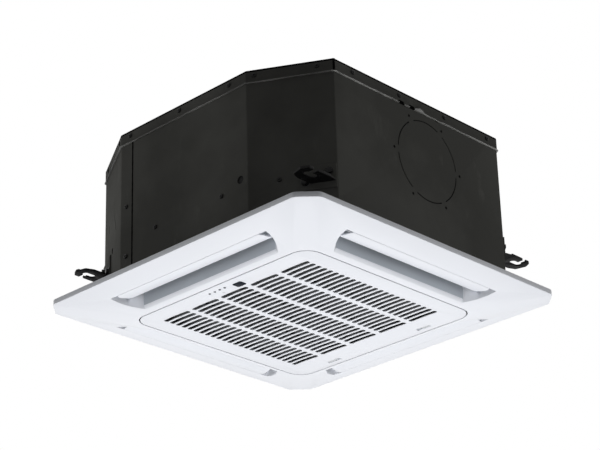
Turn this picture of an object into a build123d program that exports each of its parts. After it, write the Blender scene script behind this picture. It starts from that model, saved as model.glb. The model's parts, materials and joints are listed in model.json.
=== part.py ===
"""Compact four-way ceiling cassette air conditioner, in millimetres.

z = 0 is the ceiling's underside, where the panel's rim rests, and +Z points up
into the ceiling void. The origin is the centre of the ceiling opening. The
casing is a 575 mm octagon above the ceiling, the panel a 647 mm square below
it. The long casing faces look along -Y and +Y, the fresh-air knock-out along +X.
"""

from build123d import *
import math
import os

# ---- driving dimensions -------------------------------------------------
CASE_HALF = 287.5           # half the casing's width across its flats
CASE_FLAT_X = 157.5         # half length of the -Y and +Y faces
CASE_FLAT_Y = 212.5         # half length of the -X and +X faces
CASE_Z0, CASE_Z1 = 24.0, 284.0
SHEET = 1.2                 # casing sheet metal
LIP_HEIGHT = 25.0           # downturned edge of the lid
SEAM_X = 128.0              # where the two wrapped side plates meet
FOAM = 8.0                  # wall insulation

PANEL_HALF = 323.5          # half the decoration panel's width
PANEL_CUT = 30.0            # corner cut of the panel
RIM_Z = -9.0                # lower edge of the panel's upright rim
FACE_Z = -34.0              # flat centre of the panel
OPEN_HALF = 213.2           # half the panel's grille opening
OPEN_R = 33.0
SHELL = 3.1                 # panel moulding
PANEL_TOP = 16.0
CHAMBER_HALF = 216.0        # inside of the intake chamber's wall

OUT_R0, OUT_R1 = 230.0, 281.0       # outlet: inner and outer edge from the centre
OUT_S0, OUT_S1 = 161.0, 189.0       # its half length at those edges
VANE_R, VANE_Z = 250.0, -9.5        # louvre pivot
VANE_PIN_R = 2.0
RUNNING = 0.05              # radial running clearance

GRILLE_HALF = 211.0
GRILLE_R = 31.0
GRILLE_T = 2.5
HINGE_Y, HINGE_Z = -184.0, -29.0      # far enough in for the corners to swing clear
HINGE_R = 1.5
LATCH_X, LATCH_Y = 109.0, 194.5
GRID_Y = -8.0                # the slots sit a little nearer the hinged edge
SLOT_ROWS, SLOT_COLS = 24, 5
SLOT_PITCH_X, SLOT_PITCH_Y = 72.0, 13.9
SLOT_W, SLOT_H = 62.5, 9.2          # each intake slot
SLOT_BOW = 1.2              # how far its middle bows towards -Y
SLOT_R = 4.0                # rounding of its corners
SLOT_T = 1.5                # thickness of the bars between the slots

COIL_HALF_IN, COIL_HALF_OUT = 181.0, 209.0
COIL_BEND = 149.0           # centre of the coil's corner bends
COIL_END = 150.0            # where the coil stops at its open corner
COIL_Z0, COIL_Z1 = 44.0, 272.0
TUBE_ROWS = 8
TUBE_PITCH = 28.0
TUBE_R = 3.5
ROW_IN, ROW_OUT = 188.0, 202.0      # the two tube rows, from the centre

FAN_R = 155.0
BLADES = 7
SHAFT_R = 5.0
MOTOR_R = 56.0
MOTOR_Z0, MOTOR_Z1 = 178.0, 276.0

HANGER_Z = 58.0
HANGER_SLOT = (272.5, 261.5)        # 545 x 523 between hanger slots
HANGER_SLOT_R = 6.0
HANGER_SLOT_L = 26.0

DUCT_Y, DUCT_Z = 16.0, 170.0        # fresh-air knock-out
DUCT_R, DUCT_PCD_R = 75.0, 85.0

GLAND = (150.0, 80.0)       # cable entry on the -X face: y, z
PUMP = (-232.8, 197.9)
FLOAT = (-258.8, 182.9)
RISER_GAP = 30.0            # pump axis to its outlet riser
MINZ = (Align.CENTER, Align.CENTER, Align.MIN)


# ---- small helpers ------------------------------------------------------
def prism(sketch, z0, z1):
    """A flat outline pulled up from z0 to z1."""
    return extrude(Pos(0, 0, z0) * sketch, amount=z1 - z0, dir=(0, 0, 1))


def box(x0, x1, y0, y1, z0, z1):
    return Pos((x0 + x1) / 2, (y0 + y1) / 2, (z0 + z1) / 2) * Box(x1 - x0, y1 - y0, z1 - z0)


def post(x, y, z0, z1, r):
    return Pos(x, y, z0) * Cylinder(r, z1 - z0, align=MINZ)


def rod(start, direction, length, r):
    """A round bar from start along direction."""
    return Plane(origin=start, z_dir=direction) * Cylinder(r, length, align=MINZ)


def square(half, r):
    return RectangleRounded(2 * half, 2 * half, r)


def ring(outer, inner):
    return outer - inner


def turned(profile):
    """A closed outline of (radius, z) points turned about Z."""
    return revolve(Plane.XZ * Polygon(*profile, align=None), Axis.Z)


def pipe(points, bend, r):
    """A round pipe along straight runs joined by bends."""
    path = FilletPolyline(*points, radius=bend)
    return sweep(Plane(origin=path @ 0, z_dir=path % 0) * Circle(r), path=path)


def quarter(shape, k):
    return Rot(0, 0, 90 * k) * shape


def mirrored_corners(shape):
    """The same piece at the four corners, starting with (+X, -Y)."""
    other = mirror(shape, about=Plane.YZ)
    return [shape, other, mirror(shape, about=Plane.XZ), mirror(other, about=Plane.XZ)]


def group(shapes):
    return Compound(children=list(shapes))


def save(node, shape):
    export_step(shape, f"parts/{node}.step")


# ---- casing geometry ----------------------------------------------------
CUT_X = CASE_HALF - CASE_FLAT_X
CUT_Y = CASE_HALF - CASE_FLAT_Y
CUT_LEN = math.hypot(CUT_X, CUT_Y)
NX, NY = CUT_Y / CUT_LEN, CUT_X / CUT_LEN          # outward normal of the +X+Y corner face
CUT_DIST = NX * CASE_FLAT_X + NY * CASE_HALF
RISER = (PUMP[0] + RISER_GAP * NY, PUMP[1] + RISER_GAP * NX)


def octagon_points(out):
    half, dist = CASE_HALF + out, CUT_DIST + out
    a, b = (dist - NY * half) / NX, (dist - NX * half) / NY
    return [(a, half), (-a, half), (-half, b), (-half, -b),
            (-a, -half), (a, -half), (half, -b), (half, b)]


def octagon(out):
    """The casing's plan, moved out by the given distance."""
    return Polygon(*octagon_points(out), align=None)


def on_corner(sx, sy, along, out, z):
    """A point on a corner face: along it from the +-Y end, and out from it."""
    x = CASE_FLAT_X + along * CUT_X / CUT_LEN + out * NX
    y = CASE_HALF - along * CUT_Y / CUT_LEN + out * NY
    return (sx * x, sy * y, z)


def corner_prism(sx, sy, a0, a1, out0, out1, z0, z1):
    corners = [(a0, out0), (a1, out0), (a1, out1), (a0, out1)]
    points = [on_corner(sx, sy, a, o, 0)[:2] for a, o in corners]
    return prism(Polygon(*points, align=None), z0, z1)


def pan_screw(point, normal, head_r=4.2, head_h=2.4, shank_r=2.0, grip=9.0):
    """A pan head on the surface at point, with its shank going in."""
    inward = tuple(-n for n in normal)
    return rod(point, normal, head_h, head_r) + rod(point, inward, grip, shank_r)


def both_ends(items):
    """Casing details repeat on the opposite side, turned half a turn."""
    return items + [Rot(0, 0, 180) * item for item in items]


def lid_screws():
    out, z = SHEET, CASE_Z1 - 11
    items = [pan_screw((x, -CASE_HALF - out, z), (0, -1, 0)) for x in (-133, -6, 117)]
    items += [pan_screw((CASE_HALF + out, y, z), (1, 0, 0)) for y in (-168, -51, 67, 184)]
    for sx in (-1, 1):
        items += [pan_screw(on_corner(sx, -1, a, out, z), (sx * NX, -NY, 0)) for a in (14, 122)]
    return both_ends(items)


def casing_screws():
    items = [pan_screw((x, -CASE_HALF, 74), (0, -1, 0)) for x in (-68, 95)]
    items += [pan_screw((-143, -CASE_HALF, z), (0, -1, 0)) for z in (44, 138)]
    items.append(pan_screw(on_corner(1, -1, 53, 0, 74), (NX, -NY, 0)))
    return both_ends(items)


def cover_screws():
    spots = [(a, z) for a in (14, 80) for z in (180, 252)]
    return [pan_screw(on_corner(-1, 1, a, SHEET, z), (-NX, NY, 0)) for a, z in spots]


PIPE_GAS, PIPE_LIQUID, PIPE_DRAIN = (30, 200), (56, 200), (43, 232)      # (along, z)
GAS_R, LIQUID_R = 6.35, 3.175
UNION_OUT, PIPE_TIP = 18.0, 26.0        # out from the corner face


def pipe_window():
    """Opening in the wall and its insulation behind the pipe cover."""
    return corner_prism(-1, 1, 18, 76, -12, 1, 186, 247)


def knock_out():
    """Slits that leave a round blank held by six tabs, and its six screw holes."""
    slits = []
    for i in range(6):
        start = 60 * i + 5
        arc = CenterArc((0, 0), DUCT_R, start, 50)
        slits.append(trace(arc, line_width=2.2))
    holes = [Pos(DUCT_PCD_R * math.cos(math.radians(a)), DUCT_PCD_R * math.sin(math.radians(a)))
             * Circle(2.6) for a in range(0, 360, 60)]
    plane = Plane(origin=(CASE_HALF + 2, DUCT_Y, DUCT_Z), x_dir=(0, 1, 0), z_dir=(1, 0, 0))
    return [extrude(plane * item, amount=-6) for item in slits + holes]


def side_plates(screws):
    wall = prism(ring(octagon(0), octagon(-SHEET)), CASE_Z0, CASE_Z1 - SHEET)
    foot = prism(ring(octagon(-SHEET), octagon(-13)), CASE_Z0, CASE_Z0 + SHEET)
    both = wall + foot
    reach = 400
    gap = 0.4
    right = [(-SEAM_X + gap, -reach), (reach, -reach), (reach, reach),
             (SEAM_X + gap, reach), (SEAM_X + gap, 0), (-SEAM_X + gap, 0)]
    region = prism(Polygon(*right, align=None), 0, 300)
    front = both & region
    strip = box(-SEAM_X - 8, -SEAM_X + 14, -CASE_HALF + SHEET, -CASE_HALF + 2 * SHEET,
                CASE_Z0 + SHEET, CASE_Z1 - SHEET)
    rear = (both & (Rot(0, 0, 180) * region)) + strip
    front = front + Rot(0, 0, 180) * strip
    hole = rod((140, -CASE_HALF - 1, 88), (0, 1, 0), 4, 7)
    front = front - screws - knock_out() - [hole] - hanger_fixings(1)
    cuts = [corner_prism(-1, -1, a - 1, a + 1, -3, 3, z, z + 16) for a, z in
            ((50, 124), (58, 142), (108, 140))]
    cuts += [corner_prism(-1, -1, a, a + 9, -3, 3, z, z + 11) for a, z in ((72, 86), (88, 74))]
    cuts.append(Rot(0, 0, 180) * hole)
    rear = rear - screws - cuts - [pipe_window()] - hanger_fixings(-1) - cover_screws() - [gland_hole()]
    return front, rear


def gland_hole():
    return rod((-CASE_HALF - 1, *GLAND), (1, 0, 0), 3, 11)


def cable_gland():
    body = rod((-CASE_HALF - 2, *GLAND), (1, 0, 0), 2, 14)
    body += rod((-CASE_HALF, *GLAND), (1, 0, 0), SHEET, 11)
    body += rod((-CASE_HALF + SHEET, *GLAND), (1, 0, 0), SHEET, 13)
    return body - rod((-CASE_HALF - 3, *GLAND), (1, 0, 0), 8, 7)


def lid(screws):
    top = prism(octagon(SHEET), CASE_Z1 - SHEET, CASE_Z1)
    lip = prism(ring(octagon(SHEET), octagon(0)), CASE_Z1 - LIP_HEIGHT, CASE_Z1)
    return top + lip - screws


# ---- hangers ------------------------------------------------------------
HANGER_BOLTS = ((96.5, 61.5), (136.5, 76.4))       # (along, z) on the corner face


def hanger():
    """Bracket on the (+X, -Y) corner with an open slot for the threaded rod."""
    sx, sy = HANGER_SLOT
    t = 2.5
    edge_in = on_corner(1, 1, 106.8, 0, 0)[:2]
    edge_out = on_corner(1, 1, 148.5, 0, 0)[:2]
    outline = [edge_in, (250.0, 268.0), (256.0, 283.0), (276.0, 288.0),
               (289.0, 281.0), (290.0, 232.0), edge_out]
    plate = Polygon(*outline, align=None)
    plate = fillet([v for v in plate.vertices() if v.X > 270 and v.Y > 275 or v.Y > 280], radius=5)
    half = HANGER_SLOT_L / 2 - HANGER_SLOT_R
    slot = Pos(sx, sy) * (Rectangle(2 * HANGER_SLOT_R, 2 * half)
                          + Pos(0, half) * Circle(HANGER_SLOT_R) + Pos(0, -half) * Circle(HANGER_SLOT_R))
    mouth = Pos(sx + 15, sy + 4.5) * Rectangle(30, 9)
    lip = (plate - offset(plate, -t)) & (Pos(285, 262) * Rectangle(30, 60))
    body = prism(plate - slot - mouth, HANGER_Z, HANGER_Z + t)
    body += prism(lip - mouth, HANGER_Z + t, HANGER_Z + t + 5.5)
    body = mirror(body, about=Plane.XZ)
    body += corner_prism(1, -1, 88, 149, 0, t, 47, 90)
    rod_hits = [rod(on_corner(1, -1, a, -2, z), (NX, -NY, 0), 8, 3.0) for a, z in HANGER_BOLTS]
    return body - rod_hits


def hanger_bolt(along, z):
    grip = 2.5
    head = rod(on_corner(1, -1, along, grip, z), (NX, -NY, 0), 1.4, 7.0)
    plane = Plane(origin=on_corner(1, -1, along, grip + 1.4, z), z_dir=(NX, -NY, 0))
    head += extrude(plane * RegularPolygon(5.8, 6), amount=4.0)
    return head + rod(on_corner(1, -1, along, grip, z), (-NX, NY, 0), 13, 3.0)


def hanger_bolts():
    bolts = []
    for along, z in HANGER_BOLTS:
        bolts += mirrored_corners(hanger_bolt(along, z))
    return bolts


def hanger_fixings(side):
    return [b for b in hanger_bolts() if b.center().X * side > 0]


# ---- insulation and drain pan ------------------------------------------
def wall_insulation(fixings):
    """Eight foam panels, one on each side of the casing, mitred where they meet."""
    wall = prism(ring(octagon(-2 * SHEET), octagon(-SHEET - FOAM)), 60, CASE_Z1 - SHEET)
    wall = wall - fixings - [pipe_window(), rod((-CASE_HALF, *GLAND), (1, 0, 0), 20, 14)]
    mitres = []
    for (x0, y0), (x1, y1) in zip(octagon_points(0), octagon_points(-20)):
        line = Plane(origin=((x0 + x1) / 2, (y0 + y1) / 2, 170), x_dir=(x1 - x0, y1 - y0, 0))
        mitres.append(line * Box(30, 0.3, 240))
    return (wall - mitres).solids()


def top_insulation():
    sheet = prism(octagon(-SHEET - FOAM), 276.8, CASE_Z1 - SHEET)
    return sheet - post(0, 0, 270, 290, 82)


def outlet(r0, r1, s0, s1):
    """Plan of the outlet on the -Y side: straight inner edge, swept-out ends."""
    k = (s1 - s0) / (OUT_S1 - OUT_S0)
    mid_r, mid_s = r0 + 17, s0 + 17 * k
    edges = [Line((-s0, -r0), (s0, -r0)), ThreePointArc((s0, -r0), (mid_s, -mid_r), (s1, -r1)),
             Line((s1, -r1), (-s1, -r1)), ThreePointArc((-s1, -r1), (-mid_s, -mid_r), (-s0, -r0))]
    return make_face(edges)


def duct_plan():
    """Where air leaves the casing on the -Y side, on its way to the panel's outlet."""
    return Pos(0, -253) * RectangleRounded(314, 42, 8)


def drain_pan():
    pan = prism(octagon(-2 * SHEET), CASE_Z0 + SHEET, 60)
    pan -= post(0, 0, 20, 70, 150)
    pan -= prism(ring(square(213, 64), square(178, 29)), 42, 61)
    pan -= post(PUMP[0], PUMP[1], 32, 61, 24)
    pan -= post(FLOAT[0], FLOAT[1], 36, 61, 13)
    pan -= box(-232, -200, 190, 206, 42, 61)
    pan -= post(*RISER, 38, 61, 10)
    duct = prism(duct_plan(), 20, 61)
    return pan - [quarter(duct, k) for k in range(4)] - hanger_bolts() - casing_screws()


def bell_mouth():
    """Flat plate under the pan that flares up into the fan's inlet."""
    plate = prism(square(210, 30) - Circle(149), 23, 25)
    centre, big, small = (150, 75), 52, 50
    arc_out = CenterArc(centre, big, 180, 90)
    arc_in = CenterArc(centre, small, 180, 90)
    edges = [arc_out, Line(arc_out @ 1, arc_in @ 1), arc_in,
             Line(arc_in @ 0, (100, 92)), Line((100, 92), (98, 92)), Line((98, 92), arc_out @ 0)]
    horn = revolve(Plane.XZ * make_face(edges), Axis.Z)
    holes = [post(sx * 196, sy * 196, 20, 30, 2.5) for sx in (-1, 1) for sy in (-1, 1)]
    return plate + horn - holes


# ---- coil ---------------------------------------------------------------
def comb(length, pitch=6.0, gap=3.2, depth=3.0):
    """Plan of a straight fin pack along X, with fin edges on both faces."""
    half_t = (COIL_HALF_OUT - COIL_HALF_IN) / 2
    count = int(length // pitch)
    x0 = -count * pitch / 2 + (pitch - gap) / 2
    side = [(-length / 2, half_t)]
    for i in range(count):
        a = x0 + i * pitch
        side += [(a, half_t), (a, half_t - depth), (a + gap, half_t - depth), (a + gap, half_t)]
    side.append((length / 2, half_t))
    return Polygon(*side, *[(x, -y) for x, y in reversed(side)], align=None)


def coil_fins():
    mid = (COIL_HALF_IN + COIL_HALF_OUT) / 2
    full, cut = 2 * COIL_BEND, COIL_BEND + COIL_END
    plans = [Pos(0, -mid) * comb(full), Pos(mid, 0) * Rot(0, 0, 90) * comb(full)]
    shift = (COIL_END - COIL_BEND) / 2
    plans += [Pos(-shift, mid) * comb(cut), Pos(-mid, shift) * Rot(0, 0, 90) * comb(cut)]
    bend = ring(Circle(COIL_HALF_OUT - COIL_BEND), Circle(COIL_HALF_IN - COIL_BEND))
    for sx, sy in ((1, 1), (1, -1), (-1, -1)):
        corner = bend & (Pos(sx * 40, sy * 40) * Rectangle(80, 80))
        plans.append(Pos(sx * COIL_BEND, sy * COIL_BEND) * corner)
    runs = [prism(plan, COIL_Z0, COIL_Z1) for plan in plans]
    return runs[0] + runs[1:]


def tube_heights():
    return [58 + TUBE_PITCH * i for i in range(TUBE_ROWS)]


def coil_tube():
    """One circuit: in along the inner row, round the end, back along the outer row."""
    start, turn = COIL_END + 3, -COIL_END - 8
    inner = FilletPolyline((-ROW_IN, start), (-ROW_IN, -ROW_IN), (ROW_IN, -ROW_IN),
                           (ROW_IN, ROW_IN), (turn, ROW_IN), radius=ROW_IN - COIL_BEND)
    end = ThreePointArc((turn, ROW_IN), (turn - 7, (ROW_IN + ROW_OUT) / 2), (turn, ROW_OUT))
    outer = FilletPolyline((turn, ROW_OUT), (ROW_OUT, ROW_OUT), (ROW_OUT, -ROW_OUT),
                           (-ROW_OUT, -ROW_OUT), (-ROW_OUT, start), radius=ROW_OUT - COIL_BEND)
    path = Wire(inner.edges() + end.edges() + outer.edges())
    return sweep(Plane(origin=path @ 0, z_dir=path % 0) * Circle(TUBE_R), path=path)


def tube_sheets():
    t = 1.5
    x_end = box(-COIL_END - t, -COIL_END, COIL_HALF_IN - 2, COIL_HALF_OUT + 2, COIL_Z0, COIL_Z1)
    y_end = box(-COIL_HALF_OUT - 2, -COIL_HALF_IN + 2, COIL_END, COIL_END + t, COIL_Z0, COIL_Z1)
    for z in tube_heights():
        for row in (ROW_IN, ROW_OUT):
            x_end -= rod((-COIL_END - 3, row, z), (1, 0, 0), 6, TUBE_R)
            y_end -= rod((-row, COIL_END - 1, z), (0, 1, 0), 6, TUBE_R)
    return [x_end, y_end]


def header(x, gap, r, pipe_r, exit_at):
    """Upright header with a stub to each tube and its pipe out through the corner face."""
    exit_along, z_exit = exit_at
    y = COIL_END + 3 + gap
    body = post(x, y, 50, 264, r)
    for z in tube_heights():
        body += rod((x, COIL_END + 3, z), (0, 1, 0), gap, TUBE_R)
    elbow = on_corner(-1, 1, exit_along, -30, z_exit)
    end = on_corner(-1, 1, exit_along, PIPE_TIP, z_exit)
    return body + pipe([(x, y, z_exit), elbow, end], 18, pipe_r)


def flare_union(along, z, pipe_r, hex_across, thread_r, thread_l):
    """Brass union on the pipe's end: a hexagon, then the threaded nose for the flare nut."""
    start = on_corner(-1, 1, along, UNION_OUT, z)
    plane = Plane(origin=start, z_dir=(-NX, NY, 0))
    body = extrude(plane * RegularPolygon(hex_across / 2, 6, major_radius=False), amount=12)
    body += rod(on_corner(-1, 1, along, UNION_OUT + 12, z), (-NX, NY, 0), thread_l, thread_r)
    body -= rod(start, (-NX, NY, 0), PIPE_TIP - UNION_OUT, pipe_r)
    return body - rod(start, (-NX, NY, 0), 60, pipe_r * 0.7)


def coil_baffle():
    """Plate that closes the coil's open corner, so air passes only through the fins."""
    a, b, t = COIL_HALF_IN, COIL_END, 1.5
    points = [(-a + 3, b), (-b, a - 3), (-b + t, a - 3), (-b + t, a - 4), (-a + 4, b - t), (-a + 3, b - t)]
    return prism(Polygon(*points, align=None), 60, COIL_Z1)


# ---- fan and motor ------------------------------------------------------
def shroud_face(offset):
    """Arc of the shroud's blade side, moved out of the wheel by offset."""
    return [(104 + offset, 84), (117 + offset * 0.8, 108.5 - offset * 0.9), (FAN_R, 122 - offset)]


def fan_shroud():
    inner, outer = shroud_face(0), shroud_face(2.4)
    edges = [ThreePointArc(*inner), Line(inner[2], outer[2]),
             ThreePointArc(*reversed(outer)), Line(outer[0], inner[0])]
    return revolve(Plane.XZ * make_face(edges), Axis.Z)


def fan_wheel():
    boss_r, boss_z0, boss_z1, web, back, t = 14, 140, 165, 60, 212, 2.5
    hub = [(SHAFT_R, boss_z0), (web, boss_z0), (88, back), (FAN_R, back), (FAN_R, back + t),
           (86, back + t), (web - 2, boss_z0 + t), (boss_r, boss_z0 + t), (boss_r, boss_z1),
           (SHAFT_R, boss_z1)]
    wheel = turned(hub)
    keep = turned([(92, 97), (FAN_R - 2, 97), (FAN_R - 2, back), (92, back)])
    face = shroud_face(0)
    edges = [ThreePointArc(*face), Line(face[2], (170, 122)), Line((170, 122), (170, 80)),
             Line((170, 80), (104, 80)), Line((104, 80), face[0])]
    under = revolve(Plane.XZ * make_face(edges), Axis.Z)
    spine = ThreePointArc((88, 0), (122, 22), (160, 72))
    blade = prism(trace(spine, line_width=4), 97, back) & keep
    blade = blade - under
    return wheel + [Rot(0, 0, 360 / BLADES * i) * blade for i in range(BLADES)]


def fan_nut():
    washer = post(0, 0, 138, 140, 12) - post(0, 0, 130, 142, 4)
    nut = prism(RegularPolygon(7.0, 6, major_radius=False) - Circle(4), 131, 138)
    return [washer, nut]


def motor_shaft():
    return post(0, 0, 140, 272, SHAFT_R) + post(0, 0, 126, 140, 4)


BEARING_R, BEARING_H = 13.0, 9.0


def motor_housing():
    can = turned([(8, MOTOR_Z0), (MOTOR_R, MOTOR_Z0), (MOTOR_R, MOTOR_Z1), (0, MOTOR_Z1),
                  (0, MOTOR_Z1 - 3), (BEARING_R, MOTOR_Z1 - 3), (BEARING_R, 264), (16, 264), (16, 273),
                  (53, 273), (53, 181), (16, 181), (16, 190), (BEARING_R, 190), (BEARING_R, 181),
                  (8, 181)])
    ear = box(MOTOR_R - 2, 74, -9, 9, 270, 273) - post(67, 0, 260, 280, 3)
    return can + [Rot(0, 0, 45 + 90 * i) * ear for i in range(4)]


def motor_bearings():
    bore = SHAFT_R + RUNNING
    return [post(0, 0, z, z + BEARING_H, BEARING_R) - post(0, 0, z - 1, z + 10, bore)
            for z in (181, 264)]


def motor_stator():
    slots = [Rot(0, 0, 30 * i) * Pos(39, 0) * Rectangle(12, 5) for i in range(12)]
    return prism(Circle(53) - Circle(34) - slots, 196, 256)


def motor_rotor():
    return post(0, 0, 196, 256, 33.4) - post(0, 0, 190, 260, SHAFT_R)


def at_ears(shape):
    return [Rot(0, 0, 45 + 90 * i) * shape for i in range(4)]


def motor_mounts():
    return at_ears(post(67, 0, 273, CASE_Z1 - SHEET, 8) - post(67, 0, 260, 290, 3))


def motor_bolts():
    bolt = post(67, 0, 266, 270, 5.5) + post(67, 0, 270, CASE_Z1 - SHEET, 3)
    return at_ears(bolt)


# ---- drain pump ---------------------------------------------------------
def drain_pump():
    """Motor can on a neck, impeller chamber in the pan's well, and an outlet up to the hose."""
    x, y = PUMP
    rx, ry = RISER
    reach = (rx - x, ry - y, 0)
    body = post(x, y, 90, 150, 20) + post(x, y, 57, 91, 7) + post(x, y, 38, 58, 18)
    body += rod((x, y, 48), reach, RISER_GAP, 4)
    body += post(rx, ry, 42, 66, 6)
    body -= post(x, y, 40, 56, 15.5)
    body -= post(x, y, 36, 42, 6)
    body -= post(x, y, 54, 100, 1.5 + RUNNING)
    body -= rod((x + 10 * NY, y + 10 * NX, 48), reach, RISER_GAP - 10, 2.5)
    return body - post(rx, ry, 45, 68, 4.5)


def pump_impeller():
    x, y = PUMP
    wheel = post(x, y, 44, 46, 14) + post(x, y, 44, 96, 1.5)
    blade = Pos(x, y, 0) * box(2, 13, -1, 1, 46, 54)
    return wheel + [Pos(x, y, 0) * Rot(0, 0, 90 * i) * Pos(-x, -y, 0) * blade for i in range(4)]


def pump_bracket():
    """Carries the pump and the float's stem on the corner wall."""
    inner = -SHEET - FOAM
    plate = corner_prism(-1, 1, 92, 141, inner - 52, inner, 150, 152)
    plate += corner_prism(-1, 1, 92, 132, inner - 1.5, inner, 120, 152)
    x, y = FLOAT
    stem = post(x, y, 42, 150, 3) + post(x, y, 42, 44, 6) + post(x, y, 70, 72, 6)
    return plate + stem


def float_ring():
    x, y = FLOAT
    return post(x, y, 44.2, 60, 9) - post(x, y, 40, 70, 3.3)


def drain_exit(out):
    return on_corner(-1, 1, PIPE_DRAIN[0], out, PIPE_DRAIN[1])


def drain_hose():
    points = [(RISER[0], RISER[1], 66), (RISER[0], RISER[1], PIPE_DRAIN[1]),
              drain_exit(-36), drain_exit(-13)]
    return pipe(points, 12, 7.5)


def drain_spigot():
    out = (-NX, NY, 0)
    spigot = rod(drain_exit(-13), out, 13 + SHEET, 11) + rod(drain_exit(SHEET), out, 2, 15)
    spigot += rod(drain_exit(SHEET + 2), out, 38.8, 12.5)
    return spigot - rod(drain_exit(-11), out, 60, 9.5)


def pipe_cover():
    plate = corner_prism(-1, 1, 8, 86, 0, SHEET, 174, 258)
    holes = [rod(on_corner(-1, 1, a, -2, z), (-NX, NY, 0), 6, r) for (a, z), r in
             ((PIPE_GAS, GAS_R), (PIPE_LIQUID, LIQUID_R), (PIPE_DRAIN, 11))]
    return plate - holes - cover_screws()


# ---- electrics ----------------------------------------------------------
BOX_X, BOX_Y0, BOX_Y1, BOX_Z0, BOX_Z1 = 170.0, 150.0, 208.0, -10.0, 23.0


def control_box():
    t = SHEET
    shell = box(-BOX_X, BOX_X, BOX_Y0, BOX_Y1, BOX_Z0, BOX_Z1)
    shell -= box(-BOX_X + t, BOX_X - t, BOX_Y0 + t, BOX_Y1 - t, BOX_Z0 - 1, BOX_Z1 - t)
    for x in (-60, 120):
        for y in (158, 200):
            shell += post(x, y, 8, BOX_Z1 - t, 3)
    return shell - rod((-BOX_X - 2, 180, 8), (1, 0, 0), 6, 7)


def control_box_cover():
    lid_plate = box(-BOX_X, BOX_X, BOX_Y0, BOX_Y1, BOX_Z0 - SHEET, BOX_Z0)
    heads = [post(x, y, BOX_Z0 - SHEET - 1.6, BOX_Z0 - SHEET, 3.5) for x in (-164, 164) for y in (156, 202)]
    return lid_plate + heads


def control_board():
    board = box(-68, 128, 154, 204, 6.4, 8)
    parts = [Pos(-40, 179, 6.4) * Rot(180, 0, 0) * Cylinder(9, 14, align=MINZ),
             Pos(-16, 179, 6.4) * Rot(180, 0, 0) * Cylinder(9, 14, align=MINZ),
             box(10, 44, 164, 194, -6, 6.4), box(60, 75, 160, 175, -3, 6.4),
             box(60, 75, 182, 197, -3, 6.4), box(88, 118, 170, 190, 3, 6.4)]
    return [board] + parts


def terminal_block():
    block = box(-150, -90, 166, 192, 6, BOX_Z1 - SHEET)
    wells = [post(x, y, 2, 14, 4) for x in (-142, -131, -120, -109, -98) for y in (173, 185)]
    return block - wells


# ---- panel --------------------------------------------------------------
def panel_outline(half):
    a = half - PANEL_CUT
    return Polygon((a, half), (-a, half), (-half, a), (-half, -a),
                   (-a, -half), (a, -half), (half, -a), (half, a), align=None)


def dome():
    """Everything above the panel's sloping underside, up to its flat top."""
    rim = Pos(0, 0, RIM_Z) * panel_outline(PANEL_HALF)
    flat = Pos(0, 0, FACE_Z) * square(OPEN_HALF, OPEN_R)
    return loft([flat, rim], ruled=True)


def soft_outline(half):
    sketch = panel_outline(half)
    return fillet(sketch.vertices(), radius=16)


def panel_outlet(grow=0.0):
    return outlet(OUT_R0 - grow, OUT_R1 + grow, OUT_S0 + grow, OUT_S1 + grow)


def hinge_pins():
    """A short pin let into each side wall of the intake chamber."""
    inner, outer = 204.0, CHAMBER_HALF + 1.5
    return [rod((side * inner, HINGE_Y, HINGE_Z), (side, 0, 0), outer - inner, HINGE_R)
            for side in (-1, 1)]


def panel_frame():
    outer = dome() + prism(panel_outline(PANEL_HALF), RIM_Z, PANEL_TOP)
    edge = prism(soft_outline(PANEL_HALF), -40, 20)
    shell = (dome() + prism(panel_outline(PANEL_HALF), RIM_Z, 0)) & edge
    hollow = Pos(0, 0, SHELL) * (dome() + prism(panel_outline(PANEL_HALF), RIM_Z, 30))
    room = prism(soft_outline(PANEL_HALF - SHELL), -40, -2.5) + prism(soft_outline(PANEL_HALF - 12), -3, 40)
    shell = shell - (hollow & room)
    deck_z = PANEL_TOP - 2.5
    duct = prism(panel_outlet(2.5), FACE_Z, PANEL_TOP)
    deck = box(-191.5, 191.5, -290, -CHAMBER_HALF, deck_z, PANEL_TOP)
    wall = ring(square(CHAMBER_HALF + 2.5, OPEN_R + 5.3), square(CHAMBER_HALF, OPEN_R + 2.8))
    works = [quarter(s, k) & outer for k in range(4) for s in (duct, deck)]
    works.append(prism(wall, FACE_Z, PANEL_TOP) & outer)
    inside = prism(square(CHAMBER_HALF, OPEN_R + 2.8), 13, 23)
    tab = box(184, 218, 184, 218, 13, 23) - post(196, 196, 10, 30, 2.5)
    works += [quarter(tab, k) & inside for k in range(4)]
    frame = shell + works
    mouth = prism(square(OPEN_HALF, OPEN_R), -40, FACE_Z + SHELL)
    core = prism(square(CHAMBER_HALF, OPEN_R + 2.8), FACE_Z + SHELL, 12.9)
    ways = [prism(panel_outlet(), -40, deck_z), prism(duct_plan(), deck_z - 1, 20)]
    ways.append(rod((-200, -VANE_R, VANE_Z), (1, 0, 0), 400, VANE_PIN_R + RUNNING))
    frame = frame - [mouth, core] - [quarter(way, k) for k in range(4) for way in ways]
    reach = CHAMBER_HALF + 1.5
    return frame - rod((-reach, HINGE_Y, HINGE_Z), (1, 0, 0), 2 * reach, HINGE_R)


def panel_gasket():
    plan = ring(square(286, 8), square(CHAMBER_HALF, OPEN_R + 2.8)) & octagon(-SHEET)
    sheet = prism(plan, PANEL_TOP, CASE_Z0)
    return sheet - [quarter(prism(duct_plan(), 10, 30), k) for k in range(4)]


def panel_screws():
    screw = post(196, 196, 9.5, 13, 5) + post(196, 196, 13, 25, 2.5)
    return [quarter(screw, k) for k in range(4)]


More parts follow.
